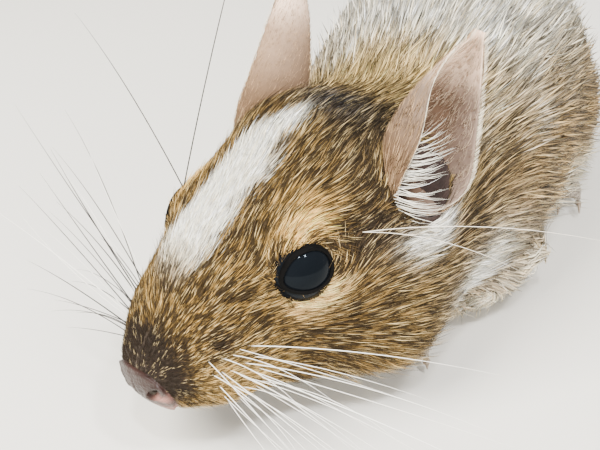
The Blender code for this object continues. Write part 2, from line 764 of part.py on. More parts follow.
def make_tail(coat, collection):
    """The tail's three lengths along one smooth path, thin gaps between them."""
    count = 61
    path = smooth_path(TAIL_PATH, count)
    knots = np.linspace(0, 1, len(TAIL_RADII))
    share = np.linspace(0, 1, count)
    radii = np.interp(share, knots, TAIL_RADII)
    travelled = np.concatenate([[0], np.cumsum(np.linalg.norm(np.diff(path, axis=0), axis=1))])
    total = travelled[-1]
    ahead = np.gradient(path, axis=0)
    gap = GAP / total
    bounds = (0.0, *TAIL_CUTS, 1.0)
    made = []
    for number, name in enumerate(("tail_base", "tail_middle", "tail_tip")):
        first = bounds[number] + (gap if number else 0.0)
        last = bounds[number + 1]
        at = np.linspace(first, last, 11) * total
        points = np.stack([np.interp(at, travelled, path[:, axis]) for axis in range(3)], -1)
        headings = np.stack([np.interp(at, travelled, ahead[:, axis]) for axis in range(3)], -1)
        radius = np.interp(at, travelled, radii)
        if number == 2:
            radius[-1] *= 0.5
        made.append(swept(name, points, radius, 12, collection, coat, 1.0, headings))
    return made, path, radii


def tuft_lock(root, ahead, outward, length, collection):
    """One flat tapered lock: a four-sided blade that starts inside the tail and leaves it at a
    low angle."""
    across = unit(np.cross(ahead, outward))
    s = np.array([0.0, 0.5, 1.0])
    path = root + np.outer(s * length, ahead) + np.outer(1.7 * s**1.5, outward)
    wide = np.array([1.0, 1.05, 0.16])
    thick = np.array([0.55, 0.45, 0.1])
    corners = ((1, 0), (0, 1), (-1, 0), (0, -1))
    rings = np.stack(
        [
            path + across * (wide * a)[:, None] + outward * (thick * b)[:, None]
            for a, b in corners
        ],
        1,
    )
    return loft("lock", rings, collection)


def make_tuft(tail_tip, path, radii, tools):
    """The black brush of the tail: locks all round its last length, fused to it."""
    chance = np.random.default_rng(5)
    locks = []
    count = len(path)
    for number in range(TUFT_LOCKS):
        at = 0.80 + 0.19 * number / (TUFT_LOCKS - 1)
        i = min(int(at * (count - 1)), count - 2)
        ahead = unit(path[i + 1] - path[i])
        level = unit(np.cross(ahead, [0.0, 0.0, 1.0]))
        upright = np.cross(level, ahead)
        turn = number * 2.4 + chance.uniform(-0.2, 0.2)
        outward = unit(level * math.cos(turn) + upright * (0.35 + 0.75 * math.sin(turn)))
        length = TUFT_LOCK_LENGTH * chance.uniform(0.8, 1.15)
        heading = unit(ahead + 0.10 * outward)
        heading[2] = max(heading[2], 0.0)
        root = path[i] + outward * (radii[i] - 1.0)
        root[2] = max(root[2], 0.9)
        locks.append(tuft_lock(root, unit(heading), outward, length, tools))
    join_all(tail_tip, locks, "MANIFOLD")


def main():
    for old in list(bpy.data.objects):
        bpy.data.objects.remove(old)
    scene = bpy.context.scene.collection
    parts = bpy.data.collections.new("degu")
    tools = bpy.data.collections.new("tools")
    scene.children.link(parts)
    scene.children.link(tools)
    coat = material("agouti_coat", (0.30, 0.21, 0.12), 0.85)
    bare = material("ear_skin", (0.42, 0.27, 0.22), 0.6)
    nose_skin = material("nose_skin", (0.16, 0.10, 0.10), 0.5)
    dark = material("eye_gloss", (0.01, 0.01, 0.012), 0.08)
    foot_coat = material("foot_skin", (0.50, 0.40, 0.34), 0.7)
    black = material("tail_brush", (0.03, 0.025, 0.025), 0.8)

    floor = new_object(
        "below_floor",
        [(x, y, z) for x in (-200, 200) for y in (-200, 200) for z in (-60, 0)],
        BOX_FACES,
        tools,
    )

    head = body_length_of("head", head_rows(), 32, coat, parts)
    for side in ("left", "right"):
        join_all(head, [make_lids(side, tools)], "EXACT")
    hollows = {}
    for side in ("left", "right"):
        hollows[side] = ear_room(side, tools)
        boolean(head, hollows[side], "DIFFERENCE")
    for side in ("left", "right"):
        eye, socket = make_eye(side, dark, parts, tools)
        boolean(head, socket, "DIFFERENCE")
    make_nose(head, nose_skin, parts, tools)
    make_jaw(head, parts, tools)
    for side in ("left", "right"):
        centre = mirrored(PAD_CENTRE, side)
        pad = ellipsoid("whisker_pad_" + side, centre, PAD_RADII, parts, 16, 8, on_head)
        room = ellipsoid("pad_room", centre, np.array(PAD_RADII) + GAP, tools, 16, 8, on_head)
        boolean(pad, head, "INTERSECT")
        boolean(head, room, "DIFFERENCE")
        join_all(pad, make_whiskers(side, tools), "MANIFOLD")
        pad.data.materials.clear()
        pad.data.materials.append(coat)

        centre = mirrored(BROW_ROOT[side], side)
        brow = ellipsoid("brow_" + side, centre, (BROW_RADIUS,) * 3, parts, 10, 6, on_head)
        room = ellipsoid("brow_room", centre, (BROW_RADIUS + GAP,) * 3, tools, 10, 6, on_head)
        boolean(brow, head, "INTERSECT")
        boolean(head, room, "DIFFERENCE")
        hairs = [
            whisker(centre, mirrored(heading, side), length, 1.0, tools)
            for heading, length in BROW_HAIRS[side]
        ]
        join_all(brow, hairs, "MANIFOLD")
        brow.data.materials.clear()
        brow.data.materials.append(coat)

    neck = body_length_of("neck", np.linspace(HEAD_END_Y + GAP, NECK_END_Y, 6), 32, coat, parts)
    chest = body_length_of("chest", np.linspace(NECK_END_Y + GAP, CHEST_END_Y, 9), 32, coat, parts)
    first = CHEST_END_Y + GAP
    rear = first + (BODY_LENGTH - first) * np.sin(np.linspace(0.0, math.pi / 2 - 0.09, 13))
    rump = body_length_of("rump", rear, 32, coat, parts)
    tail_room = grown(rump, GAP, tools)
    for body in (chest, rump):
        on_floor(body, floor)

    for side in ("left", "right"):
        make_ear(side, bare, parts)
        boolean(neck, hollows[side], "DIFFERENCE")

        inner_half = box_to(THIGH_INNER_X, side, tools)
        inner_half_back = box_to(THIGH_INNER_X - GAP, side, tools)
        centre = mirrored(THIGH_CENTRE, side)
        thigh = ellipsoid("thigh_" + side, centre, THIGH_RADII, parts, 20, 12)
        thigh.data.materials.append(coat)
        boolean(thigh, inner_half, "DIFFERENCE")
        on_floor(thigh, floor)
        room = ellipsoid("thigh_room", centre, np.array(THIGH_RADII) + GAP, tools, 20, 12)
        boolean(room, inner_half_back, "DIFFERENCE")
        for body in (chest, rump):
            boolean(body, room, "DIFFERENCE")

        forearm = smooth_path(FORELEG, 6) * flip(side)
        widths = np.interp(np.linspace(0, 2, 6), range(3), FORELEG_RADII)
        leg = swept("foreleg_" + side, forearm, widths, 12, parts, coat)
        behind = forearm[0] + 2 * GAP * unit(forearm[0] - forearm[1])
        ahead = forearm[-1] + 2 * GAP * unit(forearm[-1] - forearm[-2])
        longer = np.concatenate([[behind], forearm, [ahead]])
        widths = np.concatenate([widths[:1], widths, widths[-1:]]) + GAP
        leg_room = swept("leg_room", longer, widths, 12, tools)
        for body in (head, neck, chest):
            boolean(body, leg_room, "DIFFERENCE")
        for name, measures, over in (
            ("forefoot_", FOREFOOT, (leg, head, neck, chest)),
            ("hindfoot_", HINDFOOT, (thigh, chest, rump)),
        ):
            foot = make_foot(name + side, measures, side, foot_coat, parts, tools)
            on_floor(foot, floor)
            for room in foot_rooms(measures, side, tools):
                for body in over:
                    boolean(body, room, "DIFFERENCE")
        on_floor(leg, floor)

    lengths, path, radii = make_tail(coat, parts)
    boolean(lengths[0], tail_room, "DIFFERENCE")
    make_tuft(lengths[2], path, radii, tools)
    lengths[2].data.materials.clear()
    lengths[2].data.materials.append(black)
    for piece in lengths:
        on_floor(piece, floor)

    for tool in list(tools.objects):
        tool.hide_render = True
        tool.display_type = "WIRE"


main()
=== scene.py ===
import math

import bpy
import numpy as np
from mathutils import Matrix
from mathutils.bvhtree import BVHTree


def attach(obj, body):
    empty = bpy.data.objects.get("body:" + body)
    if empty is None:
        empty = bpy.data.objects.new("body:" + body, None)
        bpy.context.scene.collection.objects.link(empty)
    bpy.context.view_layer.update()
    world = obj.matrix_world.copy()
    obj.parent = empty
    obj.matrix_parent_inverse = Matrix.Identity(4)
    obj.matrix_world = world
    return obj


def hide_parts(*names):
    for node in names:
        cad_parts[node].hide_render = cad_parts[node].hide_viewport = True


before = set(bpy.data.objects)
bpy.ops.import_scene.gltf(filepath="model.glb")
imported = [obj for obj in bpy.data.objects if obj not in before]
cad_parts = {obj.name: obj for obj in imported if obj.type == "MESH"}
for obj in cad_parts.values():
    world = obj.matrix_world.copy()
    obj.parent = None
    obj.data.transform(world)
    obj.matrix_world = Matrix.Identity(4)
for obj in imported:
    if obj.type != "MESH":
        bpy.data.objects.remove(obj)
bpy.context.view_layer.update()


# ---- Skin ----
# The whole animal's skin is one closed surface: head, neck, trunk, legs, feet and tail fused
# together. It lies inside the coat's outer height, and carries the same markings and painted
# sheen as the hair, with painted shade darkening it round and in the ears' wells.
# Lengths are in millimetres in the body frame: nose tip at y = 0, +y to the rump, +x left, +z up.
MM = 0.001
BODY_LENGTH = 122.0
SPINE_HEIGHT = 30.0
BELLY_Y = 80.0
HEAD_DROP = 4.0
NECK_FRONT_Y = 39.0
NECK_BACK_Y = 60.0
HEAD_YAW = math.radians(-22.0)
HEAD_PITCH = math.radians(16.0)
NOSE_CAP = 2.8
RUMP_CAP = 42.0
# Each section: y, middle's height, half width, rise, drop, and squareness above and below.
SECTIONS = np.array([
    [0, -0.6, 4.3, 3.4, 3.9, 2.2, 2.2],
    [3, -0.6, 6.0, 4.9, 5.8, 2.1, 2.3],
    [7, -0.6, 8.9, 8.2, 8.2, 2.0, 2.4],
    [12, -0.6, 11.0, 11.4, 10.4, 1.9, 2.4],
    [17, -0.6, 12.4, 13.8, 13.2, 1.75, 2.4],
    [22, -0.8, 14.4, 15.4, 15.4, 1.75, 2.4],
    [28, -1.2, 16.8, 17.4, 17.4, 1.9, 2.5],
    [34, -1.2, 18.2, 18.4, 18.8, 2.0, 2.5],
    [41, -1.2, 18.8, 17.2, 19.8, 2.0, 2.5],
    [49, -4.4, 18.2, 15.4, 21.0, 2.0, 2.6],
    [58, -5.8, 19.4, 18.4, 22.6, 2.0, 2.7],
    [67, -7.6, 20.8, 22.4, 24.5, 2.0, 2.7],
    [78, -8.0, 22.4, 26.0, 24.5, 2.0, 2.5],
    [90, -8.6, 21.2, 27.6, 24.0, 2.0, 2.4],
    [104, -8.0, 18.6, 27.6, 24.5, 2.0, 2.2],
    [122, -7.7, 15.4, 24.0, 22.0, 2.0, 2.0],
])
# Soft rises and hollows on both sides: middle, reach along x, y and z, and push.
SOFT_FORMS = (
    ((10.0, 21.0, 9.6), (3.6, 4.6, 3.6), (0.7, 0.0, 2.2)),
    ((16.0, 28.0, -8.0), (6.0, 8.5, 7.5), (2.9, 0.0, -0.8)),
    ((7.6, 8.0, -2.6), (3.6, 4.8, 3.6), (1.4, -0.2, 0.0)),
    ((9.8, 14.5, 5.4), (2.8, 3.6, 3.2), (-1.0, 0.0, -0.2)),
    ((12.6, 30.5, 10.5), (4.0, 5.0, 4.0), (-1.0, 0.0, -0.4)),
    ((6.0, 35.0, -22.0), (7.5, 10.0, 10.0), (0.0, 0.0, 7.5)),
    ((21.0, 64.0, -6.0), (8.0, 9.0, 12.0), (1.4, 0.0, 0.0)),
    ((24.0, 82.0, -10.0), (9.0, 8.0, 12.0), (-1.4, 0.0, 0.0)),
    ((17.0, 98.0, -9.0), (9.0, 12.0, 12.0), (2.6, 0.0, 0.3)),
    ((20.0, 57.0, -17.0), (8.0, 8.0, 8.0), (2.0, 0.0, 0.0)),
)
MOUTH_LINE = ((-6.0, -4.4), (2.6, -5.4), (11.5, -6.6))
MOUTH_CORNER_Y = 11.5
# In front of the mouth's corner, the muzzle narrows below this height to the jaw.
JAW_TOP = -4.6
JAW_NARROWING = 0.20
EYE_CENTRE = np.array([8.9, 22.0, 5.6])
EYE_AXIS = np.array([0.86, -0.22, 0.44])
EYE_RADIUS = 4.6
LID_ANGLE = math.radians(40.0)
EAR_LENGTH = {"left": 23.1, "right": 26.2}
EAR_RADIUS = {"left": 4.9, "right": 5.0}
EAR_BASE = {"left": (13.8, 36.1, 5.0), "right": (13.4, 35.5, 5.4)}
EAR_AXES = {"left": (0.12, 0.73, 0.78), "right": (0.03, 0.67, 0.76)}
EAR_OPENING = {"left": (0.89, -0.82, -0.12), "right": (1.12, 0.0, -0.22)}
THIGH_CENTRE = (9.0, 18.0, 14.5)
THIGH_RADII = (14.0, 18.5, 16.5)
FORELEG = ((17.8, -18.5, 9.0), (14.8, -27.0, 6.2), (7.4, -34.0, 4.0))
FORELEG_RADII = (5.4, 4.6, 3.0)
# Each foot: heel, sole length, width, the toes' turns in degrees, and a toe's length.
FOREFOOT = ((5.6, -33.5, 2.0), 8.0, 6.0, (-24.0, -8.0, 8.0, 24.0), 5.0)
HINDFOOT = ((17.0, 33.0, 2.4), 20.0, 7.4, (-15.0, -5.0, 5.0, 15.0), 7.5)
OUTER_TOE = 0.82
# The sole's and a toe's thickness along them, as shares of the way and of the full radius.
SOLE_SHAPE = ((0, 0.15, 0.5, 0.85, 1), (0.35, 0.72, 0.78, 1, 0.55))
TOE_SHAPE = ((0, 0.45, 0.8, 1), (1.25, 1.15, 1.2, 0.75))
SOLE_FLATNESS = 0.62
TAIL_PATH = (
    (0, 29, 16), (-0.5, 43, 11), (-2, 56, 6), (-6, 70, 3.2), (-12, 85, 2.6),
    (-21, 99, 2.4), (-33, 111, 2.3), (-47, 120, 2.2), (-61, 125, 2.0),
)
TAIL_RADII = (6.4, 5.4, 4.2, 3.5, 3.1, 2.9, 2.8, 2.6, 2.0)


def smooth_between(knots, values, at):
    """Values at places along the knots: cubic pieces through them with centred slopes, each
    weighted by the four cubics of the share t of its span."""
    slopes = np.gradient(values, knots, axis=0)
    i = np.clip(np.searchsorted(knots, at) - 1, 0, len(knots) - 2)
    span = knots[i + 1] - knots[i]
    t = (at - knots[i]) / span
    if values.ndim > 1:
        span, t = span[:, None], t[:, None]
    return (
        (1 + 2 * t) * (1 - t) ** 2 * values[i]
        + t * (1 - t) ** 2 * span * slopes[i]
        + t * t * (3 - 2 * t) * values[i + 1]
        + t * t * (t - 1) * span * slopes[i + 1]
    )


def station(y, column):
    """A section's value at y."""
    return smooth_between(SECTIONS[:, 0], SECTIONS[:, column], y)


def on_left(points):
    """Points with the right side laid over the left."""
    return np.concatenate([np.abs(points[..., :1]), points[..., 1:]], -1)


def side_of(points):
    """1 for points on the left side and -1 for those on the right."""
    return np.where(points[..., :1] < 0, -1.0, 1.0)


def bell(points, middle, reach):
    """A soft weight: e to the minus square of the distance from the middle over the reach."""
    return np.exp(-(((points - np.array(middle)) / np.array(reach)) ** 2).sum(-1))


def ramp(value, low, high):
    """0 below low and 1 above high, easing in and out between them."""
    t = np.clip((value - low) / (high - low), 0, 1)
    return t * t * (3 - 2 * t)


def body_surface(y, angle):
    """The coat's outer surface at y and an angle round the spine: a superellipse whose size
    closes as a quarter circle at nose and rump, then each soft form's push times its bell."""
    nose = np.clip(1 - y / NOSE_CAP, 0, 1)
    rump = np.clip(1 - (BODY_LENGTH - y) / RUMP_CAP, 0, 1)
    cap = np.sqrt(np.maximum(1 - nose**2, 0)) * np.sqrt(np.maximum(1 - rump**2, 0))
    above = np.sin(angle) > 0
    square = np.where(above, station(y, 5), station(y, 6))
    rise = np.where(above, station(y, 3), station(y, 4))
    size = np.abs(np.cos(angle) / station(y, 2)) ** square + np.abs(np.sin(angle) / rise) ** square
    reach = cap * size ** (-1 / square)
    points = np.stack(
        [reach * np.cos(angle), y + 0 * angle, station(y, 1) + reach * np.sin(angle)], -1
    )
    for middle, spread, push in SOFT_FORMS:
        side, points = side_of(points), on_left(points)
        points = points + bell(points, middle, spread)[..., None] * np.array(push)
        points = np.concatenate([points[..., :1] * side, points[..., 1:]], -1)
    below = np.clip((JAW_TOP - points[..., 2]) / 2.4, 0, 1)
    ahead = np.clip((MOUTH_CORNER_Y + 5.0 - points[..., 1]) / 8.0, 0, 1)
    points[..., 0] *= 1 - JAW_NARROWING * below * ahead
    return points


def turned(vectors, yaw, pitch):
    """Vectors dipped by pitch about x, then turned by yaw about z."""
    x, y, z = vectors[..., 0], vectors[..., 1], vectors[..., 2]
    y, z = y * np.cos(pitch) - z * np.sin(pitch), y * np.sin(pitch) + z * np.cos(pitch)
    return np.stack([x * np.cos(yaw) - y * np.sin(yaw), x * np.sin(yaw) + y * np.cos(yaw), z], -1)


def neck_share(y):
    """How much of the head's turn a station has: 1 at the head, easing to 0 at the shoulders."""
    return ramp(-y, -NECK_BACK_Y, -NECK_FRONT_Y)


SPINE_Y = np.linspace(NECK_BACK_Y, -40.0, 401)
SPINE_STEPS = turned(
    np.stack([0 * SPINE_Y, np.gradient(SPINE_Y), 0 * SPINE_Y], -1),
    HEAD_YAW * neck_share(SPINE_Y),
    HEAD_PITCH * neck_share(SPINE_Y),
)
SPINE = np.cumsum(SPINE_STEPS, 0) - SPINE_STEPS[:1] + np.array([0.0, NECK_BACK_Y, 0.0])


def spine_point(y):
    """Where the bent spine is at y, over the floor: the sum of its short turned steps."""
    ahead = np.minimum(y, NECK_BACK_Y)
    bent = np.stack([np.interp(-ahead, -SPINE_Y, SPINE[:, axis]) for axis in range(3)], -1)
    bent[..., 1] += y - ahead - BELLY_Y
    bent[..., 2] += SPINE_HEIGHT - HEAD_DROP * neck_share(y)
    return bent


def turned_by_neck(vectors, y):
    """Directions of the body frame as they point over the floor at station y."""
    return turned(vectors, HEAD_YAW * neck_share(y), HEAD_PITCH * neck_share(y))


def settle(points):
    """Body-frame points over the floor: the spine's place plus the turned offset from it."""
    return spine_point(points[..., 1]) + turned_by_neck(points * [1.0, 0.0, 1.0], points[..., 1])


def on_head(points):
    """Body-frame points that the head carries, over the floor."""
    points = np.asarray(points, float)
    neck = np.full(points.shape[:-1], NECK_FRONT_Y)
    return spine_point(neck) + turned_by_neck(points - [0.0, NECK_FRONT_Y, 0.0], neck)


def unsettle(world):
    """Body-frame places of points over the floor: y is stepped until the spine is square to it."""
    y = world[..., 1] + BELLY_Y

    def away_along(*direction):
        away = world - spine_point(y)
        return (away * turned_by_neck(np.broadcast_to(direction, world.shape), y)).sum(-1)

    for _ in range(9):
        y = y + away_along(0.0, 1.0, 0.0)
    return np.stack([away_along(1.0, 0.0, 0.0), y, away_along(0.0, 0.0, 1.0)], -1)


def unit(vectors):
    """Vectors at length one."""
    vectors = np.asarray(vectors, float)
    return vectors / np.maximum(np.linalg.norm(vectors, axis=-1, keepdims=True), 1e-9)


def mirrored(values, side):
    """A point or direction of the left side, or its twin on the right."""
    return np.asarray(values, float) * [1.0 if side == "left" else -1.0, 1.0, 1.0]


def mesh_piece(name, points, faces, finish, smooth=True):
    """An object at the origin from points in millimetres and equal-sided faces, set as arrays."""
    mesh = bpy.data.meshes.new(name)
    faces = np.asarray(faces, np.int32)
    corners = faces.shape[1]
    mesh.vertices.add(len(points))
    mesh.vertices.foreach_set("co", (np.asarray(points, float) * MM).astype(np.float32).ravel())
    mesh.loops.add(faces.size)
    mesh.loops.foreach_set("vertex_index", faces.ravel())
    mesh.polygons.add(len(faces))
    mesh.polygons.foreach_set("loop_start", np.arange(0, faces.size, corners, dtype=np.int32))
    mesh.polygons.foreach_set("use_smooth", np.full(len(faces), smooth))
    mesh.update(calc_edges=True)
    mesh.validate()
    mesh.materials.append(finish)
    piece = bpy.data.objects.new(name, mesh)
    bpy.context.scene.collection.objects.link(piece)
    return piece


def tube_faces(rings, around):
    """Triangles of a tube: rings by points round, and a fan over each end from its own point,
    which follow the rings as the last two points."""
    i, j = grid_of(np.arange(rings - 1), np.arange(around))
    a = (i * around + j).ravel()
    b = (i * around + (j + 1) % around).ravel()
    sides = [np.stack([a, b, b + around], -1), np.stack([a, b + around, a + around], -1)]
    turn = np.arange(around)
    last = (rings - 1) * around
    first_point, last_point = rings * around, rings * around + 1
    ends = [
        np.stack([(turn + 1) % around, turn, np.full(around, first_point)], -1),
        np.stack([last + turn, last + (turn + 1) % around, np.full(around, last_point)], -1),
    ]
    return np.concatenate(sides + ends)


def closed_tube(rings):
    """Points and triangles of a closed tube from an array of rings by points round by 3."""
    ends = np.stack([rings[0].mean(0), rings[-1].mean(0)])
    return np.concatenate([rings.reshape(-1, 3), ends]), tube_faces(*rings.shape[:2])


def smooth_path(points, count):
    """Points evenly along a smooth curve through the given ones."""
    points = np.asarray(points, float)
    knots = np.concatenate([[0], np.cumsum(np.linalg.norm(np.diff(points, axis=0), axis=1))])
    return smooth_between(knots, points, np.linspace(0, knots[-1], count))


def whole_turn(count):
    """Angles once round."""
    return np.linspace(0, 2 * math.pi, count, endpoint=False)


def grid_of(rows, columns):
    """Two arrays of rows by columns from the values down and across."""
    return np.meshgrid(rows, columns, indexing="ij")


def tube_rings(path, radii, around, flatten=1.0):
    """Rings square to a path: its point plus the radius times cosine sideways and sine upwards."""
    ahead = unit(np.gradient(path, axis=0))
    level = unit(np.cross(ahead, [0.0, 0.0, 1.0]))
    upright = np.cross(level, ahead)
    turn = whole_turn(around)
    radii = np.asarray(radii, float)[:, None, None]
    return (
        path[:, None]
        + radii * np.cos(turn)[None, :, None] * level[:, None]
        + flatten * radii * np.sin(turn)[None, :, None] * upright[:, None]
    )


def toe_lines(measures):
    """The middle line of each toe of a left foot, from the ball over the knuckle to the tip."""
    heel, length, width, turns, toe_length = measures
    ball = np.array(heel) + [0.0, -length, 0.0]
    lines = []
    for number, degrees in enumerate(turns):
        turn = math.radians(degrees)
        ahead = np.array([math.sin(turn), -math.cos(turn), 0.0])
        root = ball + [width * 0.40 * degrees / abs(turns[0]), 0.6, 0.1]
        reach = toe_length * (1.0 if number in (1, 2) else OUTER_TOE)
        knuckle = root + ahead * reach * 0.5 + [0, 0, 0.9]
        lines.append((root, knuckle, root + ahead * reach + [0, 0, -0.5]))
    return lines


def foot_shells(measures, side):
    """The closed tubes of one foot: the sole from heel to ball, and each toe."""
    heel, length, width = measures[:3]
    heel = np.array(heel)
    ball = heel + [0.0, -length, 0.0]
    middle = (heel + ball) / 2 + [0.0, 0.0, 0.4]
    path = smooth_path((heel + [0, 2.0, 0.6], heel, middle, ball, ball + [0, -1.6, -0.4]), 20)
    radii = width / 2 * np.interp(np.linspace(0, 1, 20), *SOLE_SHAPE)
    shells = [closed_tube(tube_rings(mirrored(path, side), radii, 20, SOLE_FLATNESS))]
    for line in toe_lines(measures):
        path = mirrored(smooth_path(line, 10), side)
        radii = np.interp(np.linspace(0, 1, 10), *TOE_SHAPE)
        shells.append(closed_tube(tube_rings(path, radii, 12)))
    return shells


def egg_shell(centre, radii):
    """A closed egg shape: the middle plus its three radii along the sphere's directions."""
    up, turn = grid_of(np.linspace(-1.5, 1.5, 40), whole_turn(64))
    sphere = np.stack([np.cos(up) * np.cos(turn), np.cos(up) * np.sin(turn), np.sin(up)], -1)
    return closed_tube(np.array(centre) + sphere * np.array(radii))


def body_rows():
    """Stations of the body's rings: close at the nose, half a millimetre on the head, wider
    behind, and gathered again where the rump closes."""
    nose = NOSE_CAP * (1 - np.cos(np.linspace(0.05, math.pi / 2, 8)))
    rump = 80.0 + (BODY_LENGTH - 80.0) * np.sin(np.linspace(0, math.pi / 2 - 0.02, 60))
    return np.concatenate([nose, np.arange(3.2, 42.0, 0.5), np.arange(42.0, 79.6, 0.8), rump])


BODY_AROUND, LIMB_AROUND = 180, 24
TAIL_POINTS, FORELEG_POINTS = 160, 24
shells = [closed_tube(settle(body_surface(*grid_of(body_rows(), whole_turn(BODY_AROUND)))))]
tail_line = smooth_path(TAIL_PATH, TAIL_POINTS)
tail_radius = np.interp(np.linspace(0, 1, TAIL_POINTS), np.linspace(0, 1, len(TAIL_RADII)), TAIL_RADII)
shells.append(closed_tube(tube_rings(tail_line, tail_radius, LIMB_AROUND)))
for side in ("left", "right"):
    shells.append(egg_shell(mirrored(THIGH_CENTRE, side), THIGH_RADII))
    foreleg_line = mirrored(smooth_path(FORELEG, FORELEG_POINTS), side)
    widths = np.interp(np.linspace(0, 2, FORELEG_POINTS), range(3), FORELEG_RADII)
    shells.append(closed_tube(tube_rings(foreleg_line, widths, LIMB_AROUND)))
    for measures in (FOREFOOT, HINDFOOT):
        shells += foot_shells(measures, side)


def joined(shells):
    """Several point and face arrays as one of each."""
    offsets = np.cumsum([0] + [len(points) for points, _ in shells[:-1]])
    return (
        np.concatenate([points for points, _ in shells]),
        np.concatenate([faces + offset for (_, faces), offset in zip(shells, offsets)]),
    )


VOXEL = 0.6


def remeshed(points, faces):
    """One closed surface round overlapping closed shells, by an even voxel remesh: points in
    millimetres and triangles."""
    draft = mesh_piece("draft", points, faces, None)
    modifier = draft.modifiers.new("fuse", "REMESH")
    modifier.mode = "VOXEL"
    modifier.voxel_size = VOXEL * MM
    modifier.adaptivity = 0.0
    graph = bpy.context.evaluated_depsgraph_get()
    made = bpy.data.meshes.new_from_object(draft.evaluated_get(graph))
    made.calc_loop_triangles()
    points = np.empty(len(made.vertices) * 3, np.float32)
    made.vertices.foreach_get("co", points)
    triangles = np.empty(len(made.loop_triangles) * 3, np.int32)
    made.loop_triangles.foreach_get("vertices", triangles)
    bpy.data.objects.remove(draft)
    bpy.data.meshes.remove(made)
    return points.reshape(-1, 3).astype(float) / MM, triangles.reshape(-1, 3)


def relaxed(points, triangles, rounds, amount=0.5):
    """Points drawn towards the mean of their neighbours, a few rounds."""
    pairs = np.concatenate([triangles[:, [0, 1]], triangles[:, [1, 2]], triangles[:, [2, 0]]])
    count = np.bincount(pairs[:, 0], minlength=len(points))[:, None]
    for _ in range(rounds):
        total = np.stack(
            [np.bincount(pairs[:, 0], points[pairs[:, 1], axis], len(points)) for axis in range(3)], -1
        )
        points = points + amount * (total / count - points)
    return points


def point_normals(points, triangles):
    """Each point's outward direction: the sum of its triangles' area-weighted normals."""
    a, b, c = (points[triangles[:, k]] for k in range(3))
    face = np.cross(b - a, c - a)
    total = np.zeros_like(points)
    for k in range(3):
        for axis in range(3):
            total[:, axis] += np.bincount(triangles[:, k], face[:, axis], len(points))
    return unit(total)


def lid_opening(turn):
    """The eye opening's angle from the eye's axis, round the axis from the nose side: an oval
    a little lower than wide, with a pointed corner towards the nose."""
    corner = np.exp(-((np.minimum(turn, 2 * math.pi - turn) / 0.42) ** 2))
    return LID_ANGLE * (0.76 + 0.20 * np.cos(turn - 0.12) ** 2 + 0.19 * corner)


def eye_frame():
    """The left eye's axis, its direction upwards and its direction towards the nose."""
    axis = unit(EYE_AXIS)
    upright = unit(np.array([0.0, 0.0, 1.0]) - axis * axis[2])
    forwards = unit(np.array([0.0, -1.0, 0.0]) + axis * axis[1])
    return axis, upright, unit(forwards - upright * forwards.dot(upright))


def eye_polar(points):
    """For body-frame points folded to the left: distance from the eye's centre, angle from its
    axis, and how far outside the lids that angle is."""
    axis, upright, forwards = eye_frame()
    away = points - EYE_CENTRE
    distance = np.linalg.norm(away, axis=-1)
    angle = np.arccos(np.clip(away @ axis / np.maximum(distance, 1e-6), -1, 1))
    turn = np.arctan2(away @ upright, away @ forwards) % (2 * math.pi)
    return distance, angle, angle - lid_opening(turn)


def ear_well(body):
    """For body-frame points: the distance up the ear's axis on the point's side, the distance
    from that axis, counted longer towards the ear's open side, and the axis itself."""
    is_left = body[:, :1] > 0
    base, axis, opening = (
        np.where(is_left, np.array(values["left"]), mirrored(values["right"], "right"))
        for values in (EAR_BASE, EAR_AXES, EAR_OPENING)
    )
    axis, opening = unit(axis), unit(opening)
    along = ((body - base) * axis).sum(-1)
    away = body - base - axis * along[:, None]
    distance = np.linalg.norm(away, axis=-1)
    facing = (away * opening).sum(-1) / np.maximum(distance, 1e-6)
    return along, distance * (1 + 0.5 * ramp(facing, 0.1, 0.8)), axis


def tail_place(world):
    """For points over the floor: distance from the tail's line, and share along it."""
    gap = np.linalg.norm(world[:, None] - tail_line[None, ::4], axis=-1)
    nearest = gap.argmin(1)
    return gap.min(1), nearest / (gap.shape[1] - 1)


def foot_nearness(world):
    """1 on the feet and 0 away from them, from the distance to each sole's middle line."""
    both = on_left(world)
    near = np.zeros(len(world))
    for heel, length, width, _, toe_length in (FOREFOOT, HINDFOOT):
        first = np.array(heel) + [0, 3, 0]
        sole = np.array(heel) + [0, -length - toe_length - 2.0, 0] - first
        along = np.clip((both - first) @ sole / (sole @ sole), 0, 1)
        gap = np.linalg.norm((both - first - along[:, None] * sole) * [1, 1, 1.3], axis=1)
        near = np.maximum(near, ramp(-gap, -0.95 * width, -0.72 * width))
    return near


LOW_CHEEK = (14.5, 24.0, -12.5)
LOW_CHEEK_REACH = (6.0, 9.0, 5.5)
# The coat's depth at stations along the body, then on the tail, the legs and the feet.
COAT_DEPTH = ((0.5, 2.0, 9, 20, 38, 52, 64), (0.1, 0.4, 0.6, 0.9, 1.1, 2.2, 2.8))
TAIL_DEPTH, LEG_DEPTH, FOOT_DEPTH = 0.8, 1.1, 0.25


def blend(first, second, share):
    """One value changed into another by a share."""
    return first * (1 - share) + second * share


def coat_depth(world, body):
    """How deep the coat lies over the skin: least on the nose and feet, most on the trunk."""
    depth = np.interp(body[:, 1], *COAT_DEPTH)
    depth = blend(depth, TAIL_DEPTH, ramp(world[:, 1], 41, 46))
    depth = depth * (1 - 0.6 * bell(on_left(body), LOW_CHEEK, LOW_CHEEK_REACH))
    depth = blend(depth, LEG_DEPTH, bell(on_left(world), (13.5, -28, 6), (6, 9, 5)))
    return blend(depth, FOOT_DEPTH, foot_nearness(world))


SKIN_FLOOR_GAP = 0.12
skin_points, skin_faces = remeshed(*joined(shells))
skin_points = relaxed(skin_points, skin_faces, 7)
skin_normals = point_normals(skin_points, skin_faces)
skin_body = unsettle(skin_points)
skin_points = skin_points - skin_normals * coat_depth(skin_points, skin_body)[:, None]
skin_points = relaxed(skin_points, skin_faces, 3)
skin_body = unsettle(skin_points)

